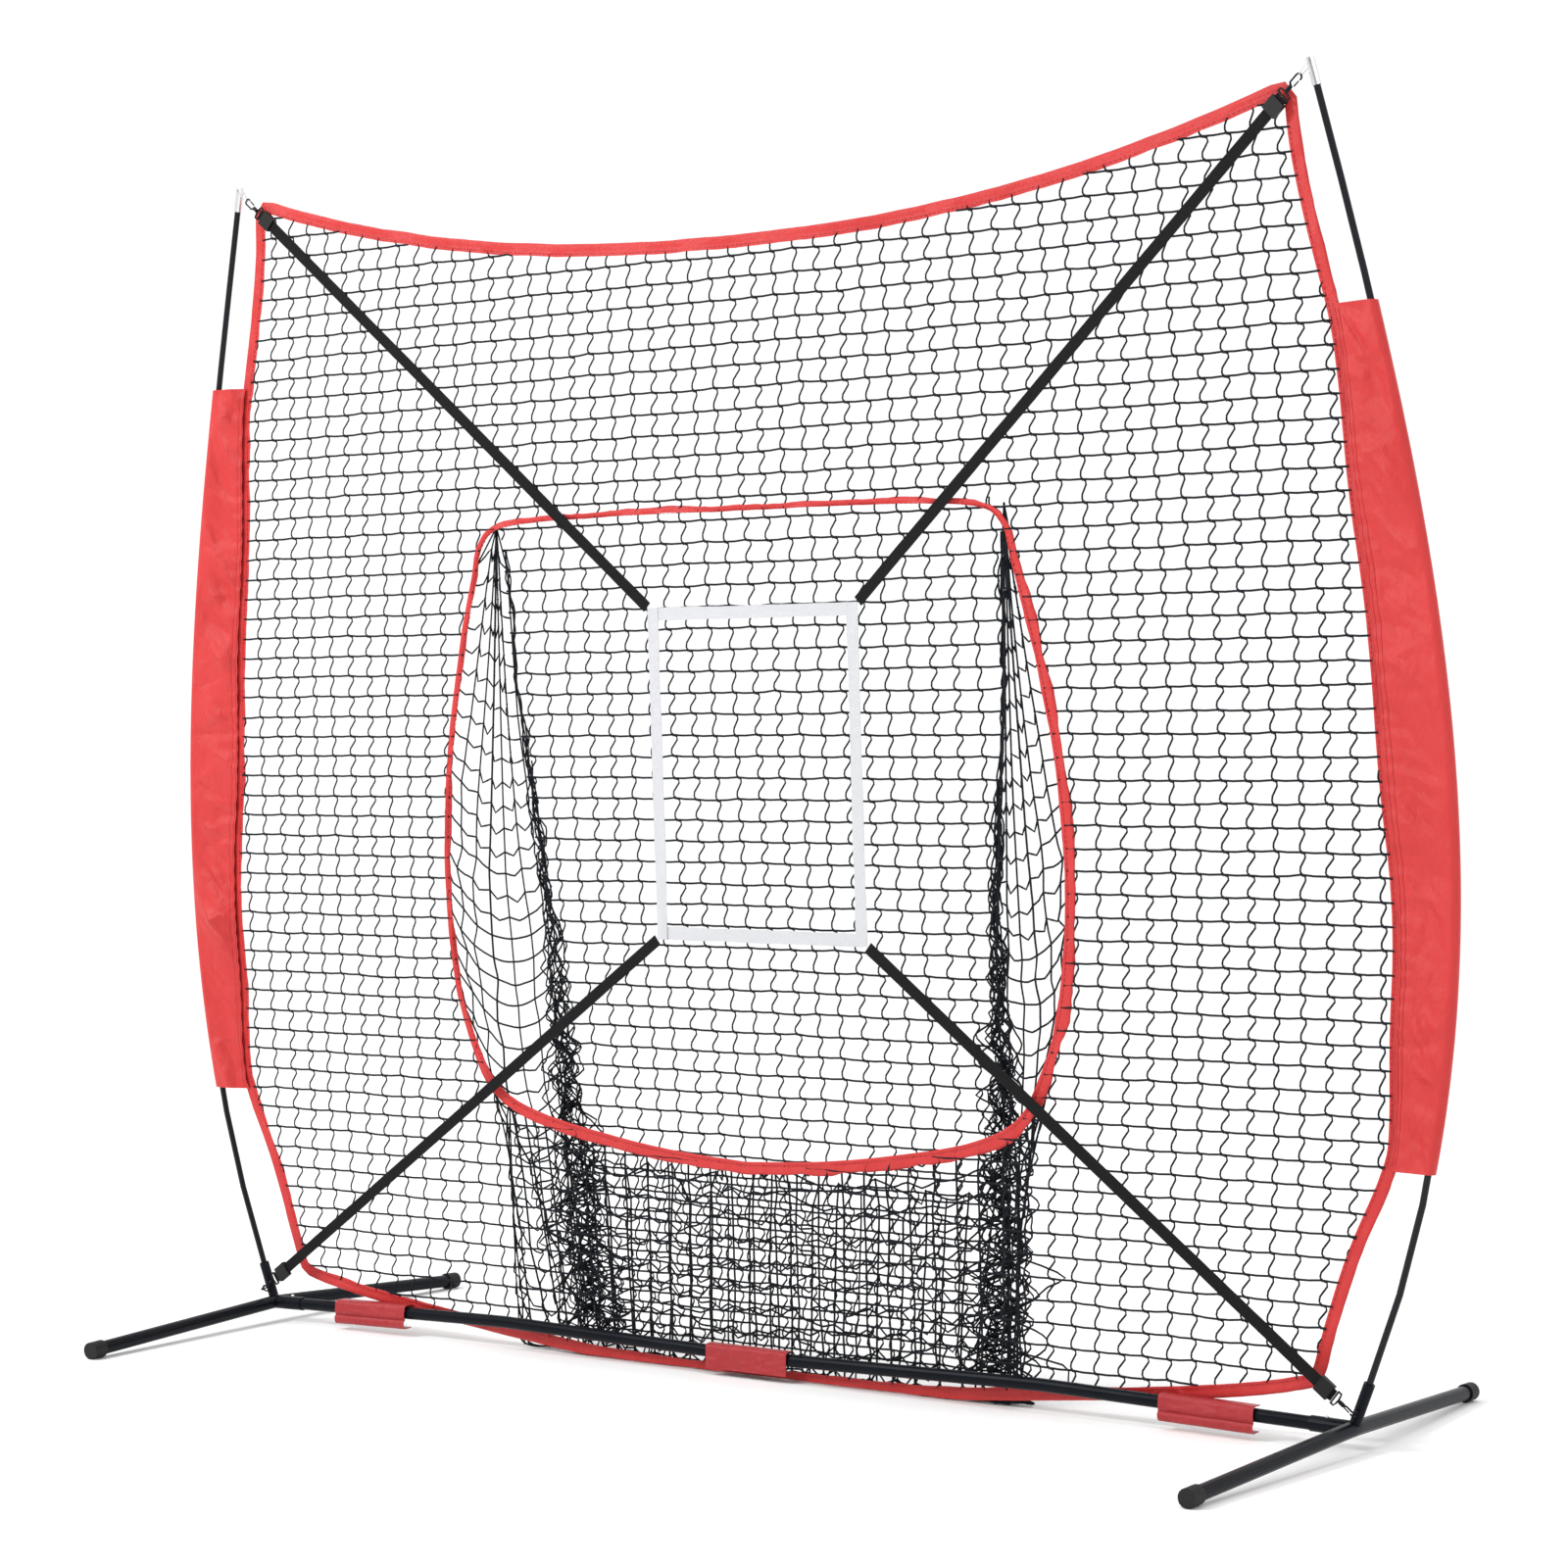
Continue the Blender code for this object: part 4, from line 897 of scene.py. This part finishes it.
def straps():
    """The four webbing straps, each as long and as wide as its CAD strap."""
    for k, tag in enumerate(STRAP_TAGS):
        node = "strap_" + tag
        corners = np.array([tuple(v.co) for v in bpy.data.objects[node].data.vertices])
        middle = corners.mean(axis=0)
        along, across, out = np.linalg.svd(corners - middle)[2]
        reach = (corners - middle) @ along
        width = float(np.ptp((corners - middle) @ across))
        line = [middle + along * t for t in np.linspace(reach.min(), reach.max(), 140)]
        shape = ribbon(line, across, out, width, STRAP_THICK, 90 + k, 0.00022, 7)
        thing = mesh_object("webbing_" + tag, *shape, "black_web")
        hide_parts(node)


def zone_point(x, z):
    """A point of the strike frame's plane."""
    low, high = net_y(ZONE_LOW) - ZONE_FRONT, net_y(ZONE_HIGH) - ZONE_FRONT
    return Vector((x, low + (high - low) * (z - ZONE_LOW) / (ZONE_HIGH - ZONE_LOW), z))


def zone_tape():
    """Four lengths of white tape, the uprights lapped over the ends of the others."""
    up = (zone_point(0, ZONE_HIGH) - zone_point(0, ZONE_LOW)).normalized()
    out = Vector((0.0, -up.z, up.y))
    inset = ZONE_TAPE / 2
    shapes = []
    for k, (z, x) in enumerate(((ZONE_LOW + inset, None), (ZONE_HIGH - inset, None), (None, -1), (None, 1))):
        if x is None:
            reach = ZONE_HALF - 0.001
            a, b = zone_point(ZONE_SHIFT - reach, z), zone_point(ZONE_SHIFT + reach, z)
            across, lift = up, -0.0004
        else:
            at = ZONE_SHIFT + x * (ZONE_HALF - inset)
            a, b = zone_point(at, ZONE_LOW), zone_point(at, ZONE_HIGH)
            across, lift = Vector((1.0, 0.0, 0.0)), 0.0006
        line = [a.lerp(b, t) + out * lift for t in np.linspace(0, 1, 60)]
        shapes.append(ribbon(line, np.array(across), np.array(out), ZONE_TAPE, ZONE_THICK, 60 + k, 0.0007, 5))
    thing = mesh_object("zone_tape", *join(*shapes), "white_web")
    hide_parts("strike_zone")


def stitches(name, outline, away):
    """Two visible rows of thread dashes along a tape, one on its front and one on its back."""
    line = even_spacing(outline, STITCH_PITCH)
    normal = normals_2d(line)
    along = np.column_stack([normal[:, 1], -normal[:, 0]])
    dashes = []
    for p, n, t in zip(line, normal, along):
        c = p + n * away
        for front in (-1, 1):
            ends = [c - t * STITCH_LENGTH / 2, c + t * STITCH_LENGTH / 2]
            dashes.append([(x, net_y(z) + front * STITCH_OUT, z) for x, z in ends])
    mesh_object(name, *tubes(dashes, 0.00035, 3), "stitch")


def bar_z(x):
    """Height of the crossbar's middle."""
    x = abs(x)
    if x > BAR_BEND_X:
        return BAR_BEND_Z + (JUNCTION_Z - BAR_BEND_Z) * (x - BAR_BEND_X) / (JUNCTION_X - BAR_BEND_X)
    return BAR_CENTRE_Z + (BAR_BEND_Z - BAR_CENTRE_Z) * x / BAR_BEND_X


def flap(tag, x, low):
    """A hook-and-loop flap folded round the front of the crossbar."""
    front = -FLAP_FRONT
    slope = math.copysign(1.0, x) * (bar_z(abs(x) + 0.05) - bar_z(abs(x) - 0.05)) / 0.1 if not low else 0.0
    if low:
        line = [(front, 0.0120), (front, 0.0500), (front + 0.005, 0.0535), (0.006, 0.0535)]
    else:
        top = bar_z(x) + BAR_RADIUS + FLAP_OVER
        foot = bar_z(x) - BAR_RADIUS - FLAP_UNDER
        fold = top - FLAP_FOLD * (top - foot)
        line = [(0.0105, top), (front + 0.004, top), (front, top - 0.004), (front - 0.002, fold + 0.007),
                (front + 0.0010, fold), (front - 0.003, fold - 0.004), (front - 0.002, foot + 0.004),
                (front + 0.002, foot), (0.006, foot + 0.001)]
    line = even_spacing(np.array(line), 0.002, closed=False)
    local = np.random.default_rng(80 + int(x * 10))
    stations = 60
    warp = np.array([np.convolve(local.normal(0, 1, stations + 6), np.ones(7) / 7, "valid")
                     for _ in range(len(line))])
    warp = np.apply_along_axis(lambda c: np.convolve(c, np.ones(3) / 3, "same"), 0, warp) * 0.0016
    rows = []
    for k, share in enumerate(np.linspace(-1, 1, stations)):
        step = share * FLAP_HALF
        rows.append([(x + step, y - warp[i, k] - 0.0003, z + step * slope) for i, (y, z) in enumerate(line)])
    if not low:
        crease = int(np.argmin([abs(z - fold) for _, z in line]))
        seam = np.array([row[crease] for row in rows]) + np.array([0.0, -0.0011, 0.0])
        mesh_object("flap_thread_" + tag, *tubes([seam], 0.0009, 4), "stitch", "flap_body_" + tag)
    shape = thicken(np.array(rows), FLAP_THICK)
    # The flap's darker red is painted shade, not a different cloth.
    thing = mesh_object("flap_cloth_" + tag, *shape, "flap_red", "flap_body_" + tag)
    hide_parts("flap_" + tag)


def flaps():
    flap("L", -FLAP_SIDE_X, False)
    flap("C", FLAP_MIDDLE_X, True)
    flap("R", FLAP_SIDE_X, False)


def leaf_springs():
    """The leaf under each spring button, as a copy of its CAD mesh."""
    for tag, _ in SIDES:
        node = "button_spring_" + tag
        thing = place("leaf_" + tag, bpy.data.objects[node].data.copy())
        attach(thing, ROOT)
        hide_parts(node)
        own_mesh(thing)


# ---- the CAD nodes that stay ------------------------------------------------------------------------
def node_finishes():
    """Every CAD part takes its finish here."""
    for node in NODES:
        key = next(key for start, key in NODE_MATERIAL if node.startswith(start))
        thing = bpy.data.objects.get(node)
        if thing is not None and thing.type == "MESH":
            thing.data.materials.clear()
            thing.data.materials.append(MAT[key])


# ---- stage, light and camera ------------------------------------------------------------------------
def lamp(name, where, target, size, power):
    data = bpy.data.lights.new(name, "AREA")
    data.shape = "RECTANGLE"
    data.size, data.size_y = size
    data.energy = power
    thing = place(name, data)
    thing.location = where
    thing.rotation_euler = (Vector(target) - Vector(where)).to_track_quat("-Z", "Y").to_euler()


def light_world(tree):
    """White behind the net, dimmer on the side of the camera, so that folds still show."""
    where = tree.nodes.new("ShaderNodeTexCoord")
    dot = tree.nodes.new("ShaderNodeVectorMath")
    dot.operation = "DOT_PRODUCT"
    dot.inputs[1].default_value = (-0.36, 0.53, 0.77)
    spread = tree.nodes.new("ShaderNodeMapRange")
    for key, value in (("From Min", -0.1), ("From Max", 0.35), ("To Min", 0.50), ("To Max", 1.05)):
        spread.inputs[key].default_value = value
    tree.links.new(where.outputs["Generated"], dot.inputs[0])
    tree.links.new(dot.outputs["Value"], spread.inputs["Value"])
    tree.links.new(spread.outputs["Result"], tree.nodes["Background"].inputs["Strength"])
    tree.nodes["Background"].inputs["Color"].default_value = (1.0, 1.0, 1.0, 1.0)


def sun(where, strength, spread):
    data = bpy.data.lights.new("sun", "SUN")
    data.energy = strength
    data.angle = math.radians(spread)
    place("sun", data).rotation_euler = (-Vector(where)).to_track_quat("-Z", "Y").to_euler()


def studio():
    made, tree, shader = new_material("pale_floor", (0.95, 0.95, 0.95), 0.8)
    bump(tree, shader, [noise(tree, 6.0)], 0.02, 0.002)
    mesh = bpy.data.meshes.new("floor")
    corners = [(x * FLOOR_REACH, y * FLOOR_REACH, FLOOR_Z) for x, y in ((-1, -1), (1, -1), (1, 1), (-1, 1))]
    mesh.from_pydata(corners, [], [(0, 1, 2, 3)])
    mesh.materials.append(made)
    place("floor", mesh)
    world = bpy.data.worlds.new("studio")
    world.use_nodes = True
    light_world(world.node_tree)
    bpy.context.scene.world = world
    lamp("key", (-3.2, -4.6, 4.6), (0, 0, 0.9), (1.2, 1.2), 250)
    sun((-0.5, -0.4, 2.2), 0.45, 25.0)
    lamp("fill", (4.5, -2.0, 2.6), (0, 0, 0.9), (3.0, 3.0), 40)
    camera = bpy.data.cameras.new("camera")
    camera.sensor_width = 36.0
    camera.lens = CAMERA_LENS
    thing = place("camera", camera)
    thing.location = CAMERA_PLACE
    thing.rotation_euler = (math.radians(90 - CAMERA_DOWN), 0.0, math.radians(CAMERA_TURN))
    bpy.context.scene.camera = thing
    bpy.context.scene.view_settings.view_transform = "Standard"


def soft_goods():
    flat_mesh()
    pocket_net()
    bindings()
    sleeves()
    straps()
    zone_tape()
    flaps()
    leaf_springs()
    stitches("edge_stitches", EDGE, STITCH_SIDE)
    stitches("mouth_stitches", MOUTH, -STITCH_SIDE)


node_finishes()
soft_goods()
studio()
